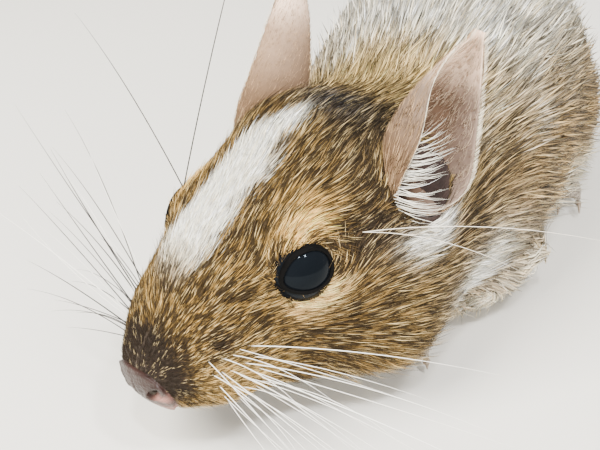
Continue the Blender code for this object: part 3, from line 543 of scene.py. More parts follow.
# The eye's opening: inside the lids the skin sinks under the eyeball, round them it rises.
side_sign, both = side_of(skin_body), on_left(skin_body)
distance, angle, outside = eye_polar(both)
near_eye = (angle < 1.6) & (distance < 9)
inside = ramp(-outside, -0.05, 0.06)
raised = np.maximum(distance, 5.0 * np.exp(-(np.maximum(outside, 0) / 0.30) ** 2))
wanted = blend(raised, np.minimum(distance, 4.0), inside)
share = np.where(near_eye, wanted / np.maximum(distance, 1e-6), 1.0)
both = EYE_CENTRE + (both - EYE_CENTRE) * share[:, None]

# The mouth: a groove along its line, from under the nose back to its corner.
line_z = np.interp(both[:, 1], *zip(*MOUTH_LINE))
in_groove = np.exp(-(((both[:, 2] - line_z) / 0.55) ** 2))
in_groove = in_groove * ramp(-both[:, 1], -MOUTH_CORNER_Y - 0.6, -MOUTH_CORNER_Y + 1)
towards = unit(np.array([0.0, 9.0, -4.0]) - both)
both = both + towards * (0.9 * in_groove)[:, None]
skin_body = np.concatenate([both[:, :1] * side_sign, both[:, 1:]], -1)

# The hollow of each ear goes down into the head.
up_ear, off_axis, ear_axis = ear_well(skin_body)
in_ear = ramp(-off_axis, -4.5, -3.6) * (up_ear > 0.6)
skin_body = skin_body - ear_axis * (in_ear * (up_ear - 0.6))[:, None]
skin_points = settle(skin_body)
skin_points[:, 2] = np.maximum(skin_points[:, 2], SKIN_FLOOR_GAP)
skin_normals = point_normals(skin_points, skin_faces)


class Value:
    """A value in a material: + and * on it add Math nodes, and node() adds any other."""

    def __init__(self, tree, socket):
        self.tree = tree
        self.socket = socket

    def node(self, kind, inputs=None, output=0, **settings):
        """A node of a kind, its settings first, then its sockets' values or links."""
        made = self.tree.nodes.new("ShaderNode" + kind)
        for name, setting in settings.items():
            setattr(made, name, setting)
        for place, value in (inputs or {}).items():
            if isinstance(value, Value):
                self.tree.links.new(value.socket, made.inputs[place])
            else:
                made.inputs[place].default_value = value
        return Value(self.tree, made.outputs[output])

    def math(self, operation, *values):
        return self.node("Math", dict(enumerate(values)), operation=operation)

    def mixed(self, first, second):
        """Two colours mixed by this value."""
        colours = [c if isinstance(c, Value) else (*c, 1.0) for c in (first, second)]
        return self.node("Mix", {0: self, 6: colours[0], 7: colours[1]}, 2, data_type="RGBA")

    def shaded(self, shade):
        """This colour times a shade."""
        return self.node(
            "Mix", {0: 1.0, 6: self, 7: shade}, 2, data_type="RGBA", blend_type="MULTIPLY"
        )

    def __add__(self, other):
        return self.math("ADD", self, other)

    def __mul__(self, other):
        return self.math("MULTIPLY", self, other)

    __radd__ = __add__
    __rmul__ = __mul__


def new_finish(name, roughness, **constants):
    """A material, its surface shader, and the Object coordinates as a Value."""
    made = bpy.data.materials.new(name)
    made.use_nodes = True
    shader = made.node_tree.nodes["Principled BSDF"]
    shader.inputs["Roughness"].default_value = roughness
    for socket, value in constants.items():
        shader.inputs[socket.replace("_", " ")].default_value = value
    coordinates = made.node_tree.nodes.new("ShaderNodeTexCoord")
    return made, shader, Value(made.node_tree, coordinates.outputs["Object"])


def feed(shader, socket, value):
    """A value linked to a socket of the surface shader."""
    value.tree.links.new(value.socket, shader.inputs[socket])


def roughen(shader, height, strength, distance):
    """Fine relief on a surface from a value of its height, the distance in metres."""
    bump = height.node("Bump", {"Strength": strength, "Distance": distance, "Height": height})
    feed(shader, "Normal", bump)


def paint(red, green, blue):
    """A colour given as 0 to 255 display values, in the linear values that shaders use."""
    display = np.array([red, green, blue]) / 255
    return np.where(display > 0.04045, ((display + 0.055) / 1.055) ** 2.4, display / 12.92)


def ripple(points, size, seed):
    """A smooth random value about 0 with the given grain: a mean of sines in random directions."""
    chance = np.random.default_rng(seed)
    waves = chance.normal(size=(3, 9)) * (2.2 / size)
    return np.sin(points @ waves + chance.uniform(0, 6.28, 9)).mean(-1) * 1.9


def lerp(first, second, share):
    """first moved towards second by a share for each row."""
    return first + (second - first) * np.asarray(share)[..., None]


def colour_points(piece, colours):
    """A colour for each point of a piece, in the attribute that its material reads."""
    layer = piece.data.color_attributes.new("coat", "FLOAT_COLOR", "POINT")
    rgba = np.concatenate([colours, np.ones((len(colours), 1))], 1)
    layer.data.foreach_set("color", np.clip(rgba, 0, 1).astype(np.float32).ravel())


# The blaze's edges: stations along the head, and how far each edge is to the left there.
BLAZE_FAR_EDGE = (
    (6.5, 8, 11, 14.4, 18.5, 23, 28.4, 32.3, 35),
    (-0.4, -1.7, -4.3, -5, -5, -4.4, -3.5, -2, -0.4),
)
BLAZE_NEAR_EDGE = (
    (6.5, 7.7, 11.5, 14.5, 16.3, 21, 26, 29, 34),
    (0.4, 0.7, 2.1, 2.9, 2.6, 2.3, 2.0, 2.1, 1.6),
)


def markings_and_sheen(world, body):
    """The coat's colours at places on the animal, painted sheen on the back among them: the
    visible hair colour, and the share of dark hairs among it."""
    both = on_left(body)
    x, y, z = body[..., 0], body[..., 1], body[..., 2]
    rough = ripple(body, 5.0, 3)
    colour = np.broadcast_to(paint(160, 126, 66), body.shape).copy()
    dark = np.full(len(body), 0.61)

    def put(tint, share, darkness):
        nonlocal colour, dark
        share = np.clip(share, 0, 1)
        colour = lerp(colour, paint(*tint), share)
        dark = dark + (darkness - dark) * share

    # Trunk: pale back, its whitish saddle and whitish streaks painted sheen, tan flanks with grey
    # between, pale belly.
    trunk = ramp(y, 38, 52)
    put((214, 190, 148), trunk * ramp(z, -6, 8), 0.24)
    put((192, 160, 110), trunk * ramp(-z, -6, 6), 0.30)
    # The whitish saddle over the back is painted sheen.
    painted_sheen_saddle = trunk * ramp(z, -4, 11) * ramp(y, 49, 58) * ramp(-y, -112, -78)
    put((255, 251, 238), painted_sheen_saddle * (0.85 + 0.5 * rough), 0.06)
    put((122, 114, 100), trunk * 0.6 * ramp(ripple(body, 5.0, 8), 0.2, 0.8) * ramp(-z, -14, 0), 0.5)
    # Whitish streaks over the upper trunk: painted sheen.
    put((250, 244, 228), trunk * 0.6 * ramp(ripple(body, 4.5, 18), 0.2, 0.7) * ramp(z, -14, 4), 0.06)
    put((240, 228, 204), ramp(y, 30, 44) * ramp(2.5 * rough - z, 14, 23), 0.06)
    # Cheeks and sides of the head.
    put((140, 109, 60), bell(both, (14.5, 18, -3), (6, 8, 6)) * 0.9, 0.58)
    put((170, 140, 86), bell(both, (18, 31, -6), (6, 7, 8)) * 0.8, 0.46)
    put((212, 174, 106), bell(both, (9.5, 8.0, -2.0), (4.5, 4.5, 4.0)), 0.24)
    put((232, 216, 186), ramp(-z, 8, 13) * ramp(-y, -34, -22), 0.08)
    put((118, 96, 60), bell(both, (12.0, 31.0, 11.5), (5.5, 5.5, 5.0)) * 0.95, 0.64)
    put((96, 90, 74), bell(body, (7.0, 36.0, 16.5), (8.0, 5.0, 6.0)) * 0.7, 0.64)
    put((70, 54, 40), bell(both, (8.2, 7.9, 3.5), (1.7, 1.6, 1.0)) * 1.1, 0.75)
    # Golden between the ears.
    put((212, 182, 118), bell(body * [1, 1, 0], (0, 46, 0), (14, 5.0, 1)) * ramp(z, 0, 7) * 1.1, 0.30)
    # Patches over and under the eye, and the dark streak behind it.
    put((250, 200, 116), bell(both, (10.2, 22.7, 11.2), (2.2, 3.7, 1.8)) * 1.6, 0.12)
    put((255, 212, 142), bell(both, (12.0, 19.0, 3.6), (2.4, 3.1, 1.8)) * 2.0, 0.02)
    put((88, 69, 46), bell(both, (13.6, 27.4, 6.4), (3.0, 3.6, 3.6)) * 1.2, 0.74)
    # White behind and under the ear, and the collar in front of the shoulder.
    put((255, 251, 238), bell(both, (17.6, 33.6, 3.2), (2.6, 3.6, 2.3)) * 2.2, 0.0)
    put((255, 251, 238), bell(both, (18.8, 41.0, -13.6), (6, 6.5, 7.0)) * 1.9, 0.0)
    # The crown's blue-black hair at the end of the blaze.
    put((70, 74, 80), bell(body, (1.0, 37.3, 17), (8.0, 3.2, 6)) * 1.05, 0.5)
    # The blaze, from the nose bridge to the crown, its edges streaked.
    far_edge, near_edge = np.interp(y, *BLAZE_FAR_EDGE), np.interp(y, *BLAZE_NEAR_EDGE)
    streak = 0.9 * ripple(body * [3.0, 0.45, 0.45], 2.2, 5)
    blaze = ramp(x - far_edge + streak, -0.7, 0.7) * ramp(near_edge - x + streak, -0.7, 0.7)
    blaze = blaze * ramp(y, 7.5, 14.5) * ramp(-y, -35.5, -32.5) * (z > 0)
    put((255, 249, 232), blaze, 0.0)
    # The dark hair of the nose bridge, paler at its edge, and the pale lips and chin.
    bridge = 4.8 - 0.24 * np.maximum(4.4 - z, 0) + 0.5 * ripple(body, 1.6, 12)
    put((44, 34, 30), ramp(bridge - y, -1.0, 0.5) * ramp(z, -2.6, -0.4), 0.92)
    put((236, 222, 194), ramp(-y, -8.0, -3.0) * ramp(-z, 3.0, 4.8), 0.06)
    # Feet and tail.
    foot = foot_nearness(world)
    put((196, 184, 168), foot, 0.12)
    _, along = tail_place(world)
    on_tail = ramp(world[..., 1], 41, 48)
    put((128, 102, 72), on_tail, 0.4)
    put((32, 28, 28), on_tail * ramp(along, 0.60, 0.76), 0.9)
    return colour, np.clip(dark, 0, 1)


skin_finish, shader, place = new_finish("skin_under_coat", 0.85, Sheen_Weight=0.15)
hide = place.node("Attribute", attribute_name="coat")
hair_grain = place.node("TexNoise", {"Vector": place, "Scale": 900.0, "Detail": 4.0})
feed(shader, "Base Color", hide.shaded(hair_grain * 0.9 + 0.35))
roughen(shader, hair_grain, 0.6, 0.0004)

skin = mesh_piece("skin", skin_points, skin_faces, skin_finish)
skin_colour, skin_dark = markings_and_sheen(skin_points, skin_body)
skin_colour = lerp(skin_colour, paint(62, 50, 38), 0.22 + 0.62 * skin_dark)
# Painted shade: the skin round each ear's root and down its well is darkened.
skin_colour = lerp(skin_colour, paint(46, 29, 23), ramp(-off_axis, -5.8, -5.0) * (up_ear > -2.0))
skin_colour = lerp(skin_colour, paint(9, 8, 8), ramp(-outside, -0.22, -0.14) * near_eye)
colour_points(skin, skin_colour)
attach(skin, "root")
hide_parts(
    "head", "jaw", "neck", "chest", "rump", "thigh_left", "thigh_right",
    "foreleg_left", "foreleg_right", "forefoot_left", "forefoot_right",
    "hindfoot_left", "hindfoot_right", "tail_base", "tail_middle",
)


# ---- Coat ----
# Banded agouti hair in thin pointed tufts that overlap and lie back along the body: very short
# on the muzzle and feet, a few millimetres on the head, about a centimetre on the trunk.
skin_tree = BVHTree.FromPolygons(skin_points.tolist(), skin_faces.tolist())
# The forelegs' lower ends, with hair like the feet's: middle and reach.
FORELEG_END = ((12.0, -30, 5), (6, 6, 4))


def flow_round(direction, points, centre, radius, most):
    """Directions that part before a round obstacle and close behind it: direction plus
    (radius / distance) to the fourth, or at most a given share, of its mirror image in the
    line to the centre."""
    away = points - centre
    away[..., 0] = 0.35 * away[..., 0]
    distance = np.linalg.norm(away, axis=-1, keepdims=True)
    outwards = away / np.maximum(distance, 1e-6)
    weight = np.minimum((radius / np.maximum(distance, 1e-6)) ** 4, most)
    along = (direction * outwards).sum(-1, keepdims=True)
    return direction + weight * (direction - 2 * along * outwards)


def lie_of_coat(world, body, normals):
    """Which way the hair lies: back from the nose, down the cheeks and flanks, parting round
    the eyes and ears, forwards on the feet and along the legs and tail."""
    side, both = side_of(body), on_left(body)
    y, z = both[:, 1], both[:, 2]
    down = 0.45 * ramp(-z, -6, 8) * ramp(y, 8, 20) + 0.35 * ramp(-y, -12, -5) * ramp(-z, -1, 4)
    down = down * (1 - 0.35 * ramp(y, 50, 70))
    wide = 0.15 * ramp(-y, -16, -6)
    lie = np.stack([wide, np.ones_like(y), -down], -1)
    lie = flow_round(lie, both, EYE_CENTRE + [3.0, 0, 0.8], 4.2, 1.0)
    lie = flow_round(lie, both, np.array([14.5, 38.0, 8.5]), 5.2, 0.72)
    lie[:, 0] *= side[:, 0]
    lie = turned_by_neck(lie, y)
    _, along = tail_place(world)
    nearest = np.minimum((along * (TAIL_POINTS - 1)).astype(int), TAIL_POINTS - 2)
    tail_ahead = unit(np.gradient(tail_line, axis=0))[nearest]
    lie = lerp(lie, tail_ahead, ramp(world[:, 1], 38, 46))
    foot = np.maximum(foot_nearness(world), bell(on_left(world), *FORELEG_END))
    lie = lerp(lie, np.array([0.0, -1.0, -0.1]), ramp(foot, 0.3, 0.7))
    lie = lie - normals * (lie * normals).sum(-1, keepdims=True)
    return unit(lie)


def scatter(density, seed):
    """Roots spread over the skin: triangles drawn by area times density, a random place in
    each, with the skin's normal there."""
    chance = np.random.default_rng(seed)
    a, b, c = (skin_points[skin_faces[:, k]] for k in range(3))
    area = np.linalg.norm(np.cross(b - a, c - a), axis=1) / 2
    wanted = area * density[skin_faces].mean(1)
    count = int(wanted.sum())
    ladder = np.cumsum(wanted)
    rungs = (np.arange(count) + chance.uniform(0, 1, count)) * ladder[-1] / count
    picked = np.minimum(np.searchsorted(ladder, rungs), len(skin_faces) - 1)
    u, v = chance.uniform(0, 1, (2, count))
    over = u + v > 1
    u, v = np.where(over, 1 - u, u)[:, None], np.where(over, 1 - v, v)[:, None]
    roots = a[picked] + u * (b[picked] - a[picked]) + v * (c[picked] - a[picked])
    na, nb, nc = (skin_normals[skin_faces[picked, k]] for k in range(3))
    return roots, unit(na + u * (nb - na) + v * (nc - na))


def followed(points, heights):
    """Points moved to a height over the nearest place of the skin."""
    found = [skin_tree.find_nearest(point) for point in points.tolist()]
    near = np.array([place for place, _, _, _ in found])
    out = np.array([normal for _, normal, _, _ in found])
    return near + out * heights[:, None], out


def tuft_grid(stations):
    """Triangles of one tuft: three-sided rings, a closed root and a pointed tip."""
    faces = [(0, 2, 1)]
    for k in range(stations - 1):
        a, b = 3 * k, 3 * k + 3
        for i, j in ((0, 1), (1, 2), (2, 0)):
            faces += [(a + i, a + j, b + j), (a + i, b + j, b + i)]
    a, tip = 3 * stations - 3, 3 * stations
    faces += [(a, a + 1, tip), (a + 1, a + 2, tip), (a + 2, a, tip)]
    return np.array(faces)


def many_alike(name, points, grid, finish):
    """One object of many small shapes with the same triangles: points by shape, each shape's
    triangles set off by the points before it."""
    offsets = np.arange(len(points)) * points.shape[1]
    faces = (grid[None] + offsets[:, None, None]).reshape(-1, 3)
    return mesh_piece(name, points.reshape(-1, 3), faces, finish)


coat_finish, shader, place = new_finish("agouti_hair", 0.68, Specular_IOR_Level=0.22)
hair = place.node("Attribute", attribute_name="coat")
fine = place.node("TexNoise", {"Vector": place, "Scale": 2600.0, "Detail": 2.0})
feed(shader, "Base Color", hair.shaded(fine * 0.5 + 0.75))


# Stations along the body, and the hair's length and width and the tufts to a square
# millimetre there.
HAIR_LENGTH = ((1, 3, 8, 16, 26, 36, 46, 60, 100), (0.7, 1.0, 1.9, 3.1, 4.0, 5.2, 8.0, 10.5, 12.0))
HAIR_WIDTH = ((1, 4, 10, 24, 40, 60), (0.06, 0.08, 0.105, 0.125, 0.17, 0.24))
TUFT_DENSITY = ((1, 4, 10, 24, 38, 46, 60), (60, 40, 32, 25, 19, 9.0, 4.8))
TAIL_DENSITY, FOOT_DENSITY = 2.6, 4.0
TAIL_HAIR_WIDTH = 0.22
FOOT_HAIR_LENGTH, FOOT_HAIR_WIDTH = 1.5, 0.15


def coat_lengths(world, body):
    """Each hair's length, width and height off the skin at its tip, in millimetres."""
    both = on_left(body)
    y = both[:, 1]
    length, width = np.interp(y, *HAIR_LENGTH), np.interp(y, *HAIR_WIDTH)
    _, _, outside = eye_polar(both)
    close = np.exp(-(np.maximum(outside, 0) / 0.45) ** 2) * (y < 34) * (both[:, 0] > 5)
    length = length * (1 - 0.55 * close)
    height = coat_depth(world, body)
    # Fuller hair on the far cheek, the low cheeks and the chin.
    puff = 2.1 * bell(body, (-12.5, 15.0, 2.0), (4.0, 5.0, 5.0))
    puff = puff + 2.3 * bell(both, LOW_CHEEK, LOW_CHEEK_REACH)
    puff = puff + 0.6 * bell(both, (5.0, 5.0, -6.5), (5.0, 5.0, 2.5))
    length = length + 1.4 * puff
    height = height + 1.3 * puff
    length = length * (1 + 0.35 * bell(both, (20.0, 52.0, -13.0), (9, 8, 8)))
    on_tail = ramp(world[:, 1], 41, 48)
    _, along = tail_place(world)
    tail_length = 3.2 + 7.5 * ramp(along, 0.62, 0.95)
    length, width = blend(length, tail_length, on_tail), blend(width, TAIL_HAIR_WIDTH, on_tail)
    height = height * (1 + on_tail * (0.4 + 2.2 * ramp(along, 0.66, 0.85)))
    foot = np.maximum(foot_nearness(world), 0.8 * bell(on_left(world), *FORELEG_END))
    foot = ramp(foot, 0.2, 0.8)
    length, width = blend(length, FOOT_HAIR_LENGTH, foot), blend(width, FOOT_HAIR_WIDTH, foot)
    return length, width, height


# A few hairs stand higher than the rest. Roots start under the skin, and no hair is under the
# floor. Each tuft has a patch this wide on the bake's map.
STRAY_SHARE, STRAY_RISE = 0.06, 1.7
ROOT_SINK = 0.12
HAIR_FLOOR_GAP, EDGE_FLOOR_GAP = 0.08, 0.03
TUFT_TAPER = ((0, 0.35, 0.75, 1), (0.75, 1.0, 0.72, 0.0))
PATCH_SIZE = 0.003


def make_tufts(name, roots, normals, seed, stations, slot):
    """A coat piece. Each tuft's rings follow the skin along the lie of the coat and rise from
    root to tip; tips are drawn together in small clumps; hairs are banded along their length."""
    chance = np.random.default_rng(seed)
    count = len(roots)
    body = unsettle(roots)
    length, width, height = coat_lengths(roots, body)
    length = length * chance.uniform(0.7, 1.25, count)
    width = width * chance.uniform(0.75, 1.3, count)
    height = height * chance.uniform(0.45, 1.0, count)
    height = height * np.where(chance.uniform(0, 1, count) < STRAY_SHARE, STRAY_RISE, 1.0)
    lie = lie_of_coat(roots, body, normals)
    swing = 0.22 * ripple(roots, 4.0, 21) + 0.10 * ripple(roots, 1.3, 22) + chance.normal(0, 0.10, count)
    aside = np.cross(normals, lie)
    lie = lie * np.cos(swing)[:, None] + aside * np.sin(swing)[:, None]

    tips = roots + lie * length[:, None]
    cell = roots / (2.2 * width.mean() ** 0.5) + 0.35 * ripple(roots, 2.0, 31)[:, None]
    _, group = np.unique(np.floor(cell).astype(int), axis=0, return_inverse=True)
    group = group.ravel()
    members = np.bincount(group)
    centre = np.stack([np.bincount(group, tips[:, axis]) for axis in range(3)], -1) / members[:, None]
    tips = lerp(tips, centre[group], 0.45 * chance.uniform(0.3, 1.4, count))

    # The brush's hairs stand free past the tail's end.
    loose = ramp(roots[:, 1], 60, 80) * ramp(tail_place(roots)[1], 0.7, 0.85)
    steps = np.linspace(0, 1, stations + 1)
    path, outs = [roots - normals * ROOT_SINK], [normals]
    for s in steps[1:]:
        bow = s ** 1.15
        line = roots + (tips - roots) * s
        point, out = followed(line, height * (0.18 + 0.82 * bow))
        point = lerp(point, line + normals * (height * bow)[:, None], loose)
        path.append(point)
        outs.append(out)
    path, outs = np.stack(path, 1), np.stack(outs, 1)
    path[..., 2] = np.maximum(path[..., 2], HAIR_FLOOR_GAP)
    ahead = unit(path[:, -1] - path[:, 0])
    across = unit(np.cross(ahead[:, None], outs))
    taper = np.interp(steps, *TUFT_TAPER)
    half = (width[:, None] * taper / 2)[..., None]
    rings = np.stack([path - across * half, path + across * half, path + outs * half * 0.9], 2)
    points = np.concatenate([rings[:, :-1].reshape(count, -1, 3), path[:, -1:]], 1)
    points[..., 2] = np.maximum(points[..., 2], EDGE_FLOOR_GAP)

    # Neighbouring hairs mix across the edge of a marking, and clumps differ as well as hairs.
    blur = np.interp(body[:, 1], [5, 12], [0.2, 0.45])[:, None]
    colour, dark = markings_and_sheen(roots, body + chance.normal(0, 1, (count, 3)) * blur)
    clump = chance.normal(0, 1, len(members))[group]
    dark = np.clip(dark * np.exp(0.30 * clump), 0, 0.9)
    draw = chance.uniform(0, 1, count)
    bright = np.exp(chance.normal(0.0, 0.24, count) - 0.12 * clump)
    visible = colour * bright[:, None]
    visible = np.where((draw < dark)[:, None], colour * 0.08 + paint(32, 26, 19), visible)
    pale = (draw > 0.86) & (draw > dark) & (dark < 0.82)
    visible = np.where(pale[:, None], lerp(visible, paint(252, 226, 168), 0.45), visible)
    tipped = (chance.uniform(0, 1, count) < 0.9 * dark) & (draw >= dark) & ~pale
    root_colour = colour * (0.85 - 0.5 * dark)[:, None]
    root_colour = lerp(root_colour, paint(52, 42, 33), np.clip(0.08 + 1.3 * dark, 0, 1))
    tip_colour = np.where(tipped[:, None], paint(44, 34, 25), visible * 1.2)
    band = np.interp(steps, [0, 0.5, 1], [0, 0.72, 1])[:-1]
    shades = [lerp(root_colour, visible, b) for b in band]
    colours = np.concatenate([np.repeat(np.stack(shades, 1), 3, 1), tip_colour[:, None]], 1)

    grid = tuft_grid(stations)
    piece = many_alike(name, points, grid, coat_finish)
    colour_points(piece, colours.reshape(-1, 3))

    # The bake's map: each tuft is a small patch at its root's place round and along the body.
    turn = np.arctan2(body[:, 2] + 4.0, body[:, 0])
    turn = np.where(turn < -math.pi / 2, turn + 2 * math.pi, turn)
    back = roots[:, 1] - 0.4 * roots[:, 0] if slot == "tail_brush" else body[:, 1]
    spread = np.stack([turn, back], -1)
    spread = 0.01 + 0.98 * ((spread - spread.min(0)) / (spread.max(0) - spread.min(0)))
    side = np.append(np.tile([-0.5, 0.5, 0.0], stations), 0.0)
    along = np.append(np.repeat(steps[:-1], 3), 1.0) - 0.5
    patch = np.stack([side, along], -1)[grid] * PATCH_SIZE
    patch[0, :, 1] += [0.0, 0.2 * PATCH_SIZE, 0.0]
    uv = spread[:, None, None] + patch[None]
    layer = piece.data.uv_layers.new(name="OFBake")
    layer.data.foreach_set("uv", uv.astype(np.float32).ravel())
    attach(piece, "root")
    return piece


def coat_density(world, body):
    """Tufts to a square millimetre of skin: none in the eyes' openings, on the nose pad or
    under the ears' roots, and few where the animal lies on the floor."""
    both = on_left(body)
    y, z = both[:, 1], both[:, 2]
    density = np.interp(y, *TUFT_DENSITY)
    _, _, outside = eye_polar(both)
    density = density * np.where((both[:, 0] > 4) & (y < 34), ramp(outside, 0.095, 0.135), 1.0)
    bare_nose = (z < -0.6 - 0.8 * (y - 1.0)) & (y < 2.3) | (y < 0.5)
    density = density * ~bare_nose
    up_ear, off_axis, _ = ear_well(body)
    density = density * np.where(up_ear > -1.0, ramp(off_axis, 4.6, 5.0), 1.0)
    density = blend(density, TAIL_DENSITY, ramp(world[:, 1], 40, 46))
    density = blend(density, FOOT_DENSITY, ramp(foot_nearness(world), 0.2, 0.8))
    return density * np.where(world[:, 2] < 0.6, 0.12, 1.0)


roots, root_normals = scatter(coat_density(skin_points, skin_body), 11)
root_body = unsettle(roots)
tail_part = roots[:, 1] > 43.0
foot_part = (foot_nearness(roots) > 0.35) & ~tail_part
trunk_part = (root_body[:, 1] > 40.0) & ~tail_part & ~foot_part
head_part = ~tail_part & ~foot_part & ~trunk_part
left = root_body[:, 0] > 0
muzzle = root_body[:, 1] < 13.5
face = ~muzzle & (root_body[:, 1] < 25.0)
top = root_body[:, 2] > 3.0
shoulder = root_body[:, 1] < 66.0
PARTS = (
    ("muzzle", head_part & muzzle),
    ("face", head_part & face),
    ("crown", head_part & ~muzzle & ~face & top),
    ("cheek", head_part & ~muzzle & ~face & ~top),
    ("shoulder", trunk_part & shoulder),
    ("flank", trunk_part & ~shoulder),
    ("feet", foot_part),
)
FIRST_SEED = 40
STATIONS = 2
half_parts = [(name, part, side) for name, part in PARTS for side in ("left", "right")]
for number, (name, part, side) in enumerate(half_parts):
    chosen = part & (left if side == "left" else ~left)
    make_tufts(
        f"coat_{name}_{side}", roots[chosen], root_normals[chosen],
        FIRST_SEED + number, STATIONS, "agouti_coat",
    )


# ---- Tail ----
# A thin haired tail that ends in a brush of coarse black hair, combed towards its tip.
TAIL_SEED = 60
tail_coat = make_tufts(
    "coat_tail", roots[tail_part], root_normals[tail_part], TAIL_SEED, STATIONS, "tail_brush"
)
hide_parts("tail_tip")


# ---- Nose ----
# The bare pad at the end of the muzzle: dark, faintly pink skin with a fine moist grain, and a
# slanted nostril on each side with a raised rim.
NOSTRIL = np.array([2.9, 0.7, -0.4])
NOSTRIL_SLANT = np.array([[0.8, 0.0, -0.6], [0.0, 1.0, 0.0], [0.6, 0.0, 0.8]])
NOSTRIL_RADII = np.array([0.95, 1.5, 0.5])


def nose_surface(turn, out):
    """The pad at an angle round the muzzle and a share out from its tip: the muzzle's surface a
    little raised, with a groove down its middle and a dent and rim for each nostril."""
    y = (1.8 - 0.7 * np.sin(turn)) * (1 - np.cos(out * math.pi / 2)) ** 1.15 + 0.004
    points = body_surface(y, turn)
    centre = np.array([0.0, 2.4, -0.5])
    outwards = unit(points - centre)
    lift = 0.16 * (1 - ramp(out, 0.75, 1.0)) - 0.5 * ramp(out, 0.86, 1.0)
    both = on_left(points)
    slant = (both - NOSTRIL) @ NOSTRIL_SLANT
    size = np.sqrt(((slant / NOSTRIL_RADII) ** 2).sum(-1))
    lift = lift - 1.1 * np.exp(-(size**4)) + 0.22 * np.exp(-(((size - 1.5) / 0.35) ** 2))
    lift = lift - 0.28 * np.exp(-((both[..., 0] / 0.22) ** 2)) * ramp(-points[..., 2], -1.5, 0.5)
    lift = lift + 0.05 * ripple(points, 0.5, 9)
    return points + outwards * lift[..., None]


NOSE_AROUND, NOSE_OUT = 112, 48
nose_grid = grid_of(whole_turn(NOSE_AROUND), np.linspace(0.02, 1, NOSE_OUT))
nose_rings = on_head(nose_surface(*nose_grid).transpose(1, 0, 2))
nose_finish, shader, place = new_finish("nose_skin_moist", 0.42, Specular_IOR_Level=0.4)
pores = place.node("TexVoronoi", {"Vector": place, "Scale": 3200.0})
patchy = place.node("TexNoise", {"Vector": place, "Scale": 420.0, "Detail": 3.0})
hue = place.node("Attribute", attribute_name="pink")
base = patchy.mixed(paint(20, 14, 13), paint(62, 42, 37))
feed(shader, "Base Color", hue.mixed(base, paint(176, 118, 104)))
roughen(shader, pores, 0.5, 0.00012)
nose_points, nose_faces = closed_tube(nose_rings)
nose = mesh_piece("nose_pad", nose_points, nose_faces, nose_finish)
nose_body = on_left(unsettle(nose_points))
pink = bell(nose_body, NOSTRIL + [0.9, 0.3, -0.8], (0.9, 1.1, 0.7)) * 0.9
pink = pink + ramp(-nose_body[:, 2], 2.2, 3.4) * 0.4
layer = nose.data.attributes.new("pink", "FLOAT", "POINT")
layer.data.foreach_set("value", np.clip(pink, 0, 1).astype(np.float32))
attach(nose, "root")
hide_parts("nose")


# ---- Eyes ----
# Large dark glossy eyeballs with a slightly fuller cornea, set between thin black lids whose
# corner points to the nose.
eye_finish, shader, place = new_finish(
    "eye_wet_black", 0.03, Specular_IOR_Level=0.06, Specular_Tint=(0.72, 0.86, 1.0, 1.0)
)
iris = place.node("TexNoise", {"Vector": place, "Scale": 300.0, "Detail": 2.0})
feed(shader, "Base Color", iris.mixed((0.002, 0.003, 0.004), (0.005, 0.006, 0.008)))
lid_finish, shader, place = new_finish("lid_skin", 0.7, Specular_IOR_Level=0.08)
wrinkles = place.node("TexNoise", {"Vector": place, "Scale": 1500.0, "Detail": 3.0})
feed(shader, "Base Color", wrinkles.mixed(paint(3, 3, 3), paint(9, 8, 8)))
roughen(shader, wrinkles, 0.5, 0.0001)


CORNEA_BULGE = 0.04
LID_RADIUS = 4.78
LID_ROLL = 0.24


def round_eye(up, turn, radius):
    """A point at an angle from the eye's axis, an angle round it and a distance from its
    centre."""
    axis, upright, forwards = eye_frame()
    around = forwards * np.cos(turn)[..., None] + upright * np.sin(turn)[..., None]
    outward = axis * np.cos(up)[..., None] + around * np.sin(up)[..., None]
    return EYE_CENTRE + outward * radius[..., None]


def eyeball(up, turn):
    """The eyeball at an angle from its axis and round it: a sphere, a little fuller in a bell
    round the axis for the cornea."""
    return round_eye(up, turn, EYE_RADIUS * (1 + CORNEA_BULGE * np.exp(-((up / 0.55) ** 2))))


def eyelid(turn, round_rim):
    """The lids' rim round the opening: a flattened roll that starts on the eyeball, rises over
    its edge and sinks into the skin outside it."""
    wide = 0.07 + 0.02 * np.sin(turn)
    up = lid_opening(turn) + 0.02 + wide * np.cos(round_rim)
    wrinkle = ripple(np.stack([turn, round_rim, turn], -1) * 3, 2.0, 4)
    return round_eye(up, turn, LID_RADIUS + LID_ROLL * np.sin(round_rim) + 0.05 * wrinkle)


def ring_faces(rows, columns):
    """Quads of a surface that closes on itself both ways."""
    i, j = grid_of(np.arange(rows), np.arange(columns))
    below, j2 = (i + 1) % rows * columns, (j + 1) % columns
    return np.stack([i * columns + j, below + j, below + j2, i * columns + j2], -1).reshape(-1, 4)


BALL_DOWN, BALL_AROUND = 48, 72
LID_AROUND, LID_ROUND_RIM = 120, 20
for side in ("left", "right"):
    ball = eyeball(*grid_of(np.linspace(0.01, math.pi - 0.01, BALL_DOWN), whole_turn(BALL_AROUND)))
    if side == "right":
        ball = mirrored(ball, side)[:, ::-1]
    points, faces = closed_tube(on_head(ball[:, ::-1]))
    eye = mesh_piece("eyeball_" + side, points, faces, eye_finish)
    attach(eye, "root")
    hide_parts("eye_" + side)
    rim = mirrored(eyelid(*grid_of(whole_turn(LID_AROUND), whole_turn(LID_ROUND_RIM))), side)
    faces = ring_faces(LID_AROUND, LID_ROUND_RIM)
    if side == "left":
        faces = faces[:, ::-1]
    lids = mesh_piece("lids_" + side, on_head(rim.reshape(-1, 3)), faces, lid_finish)
    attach(lids, "root")


# ---- Ears ----
# Tall thin cupped ears of almost bare skin: pinkish grey inside, with painted shade low in the
# cup and the left ear's tones painted darker for shade, peach at the tip. Short pale hair edges
# the rim and long white hairs fan from the front of the cup.
EAR_FRONT_TURN = {"left": 44.0, "right": -23.0}
EAR_LOBE = {"left": 0.47, "right": 0.39}
EAR_THICKNESS = 0.75
FAN_HEADING = np.array([0.72, 0.66, -0.24])
FAN_RISE = np.array([-0.34, 0.61, 0.72])


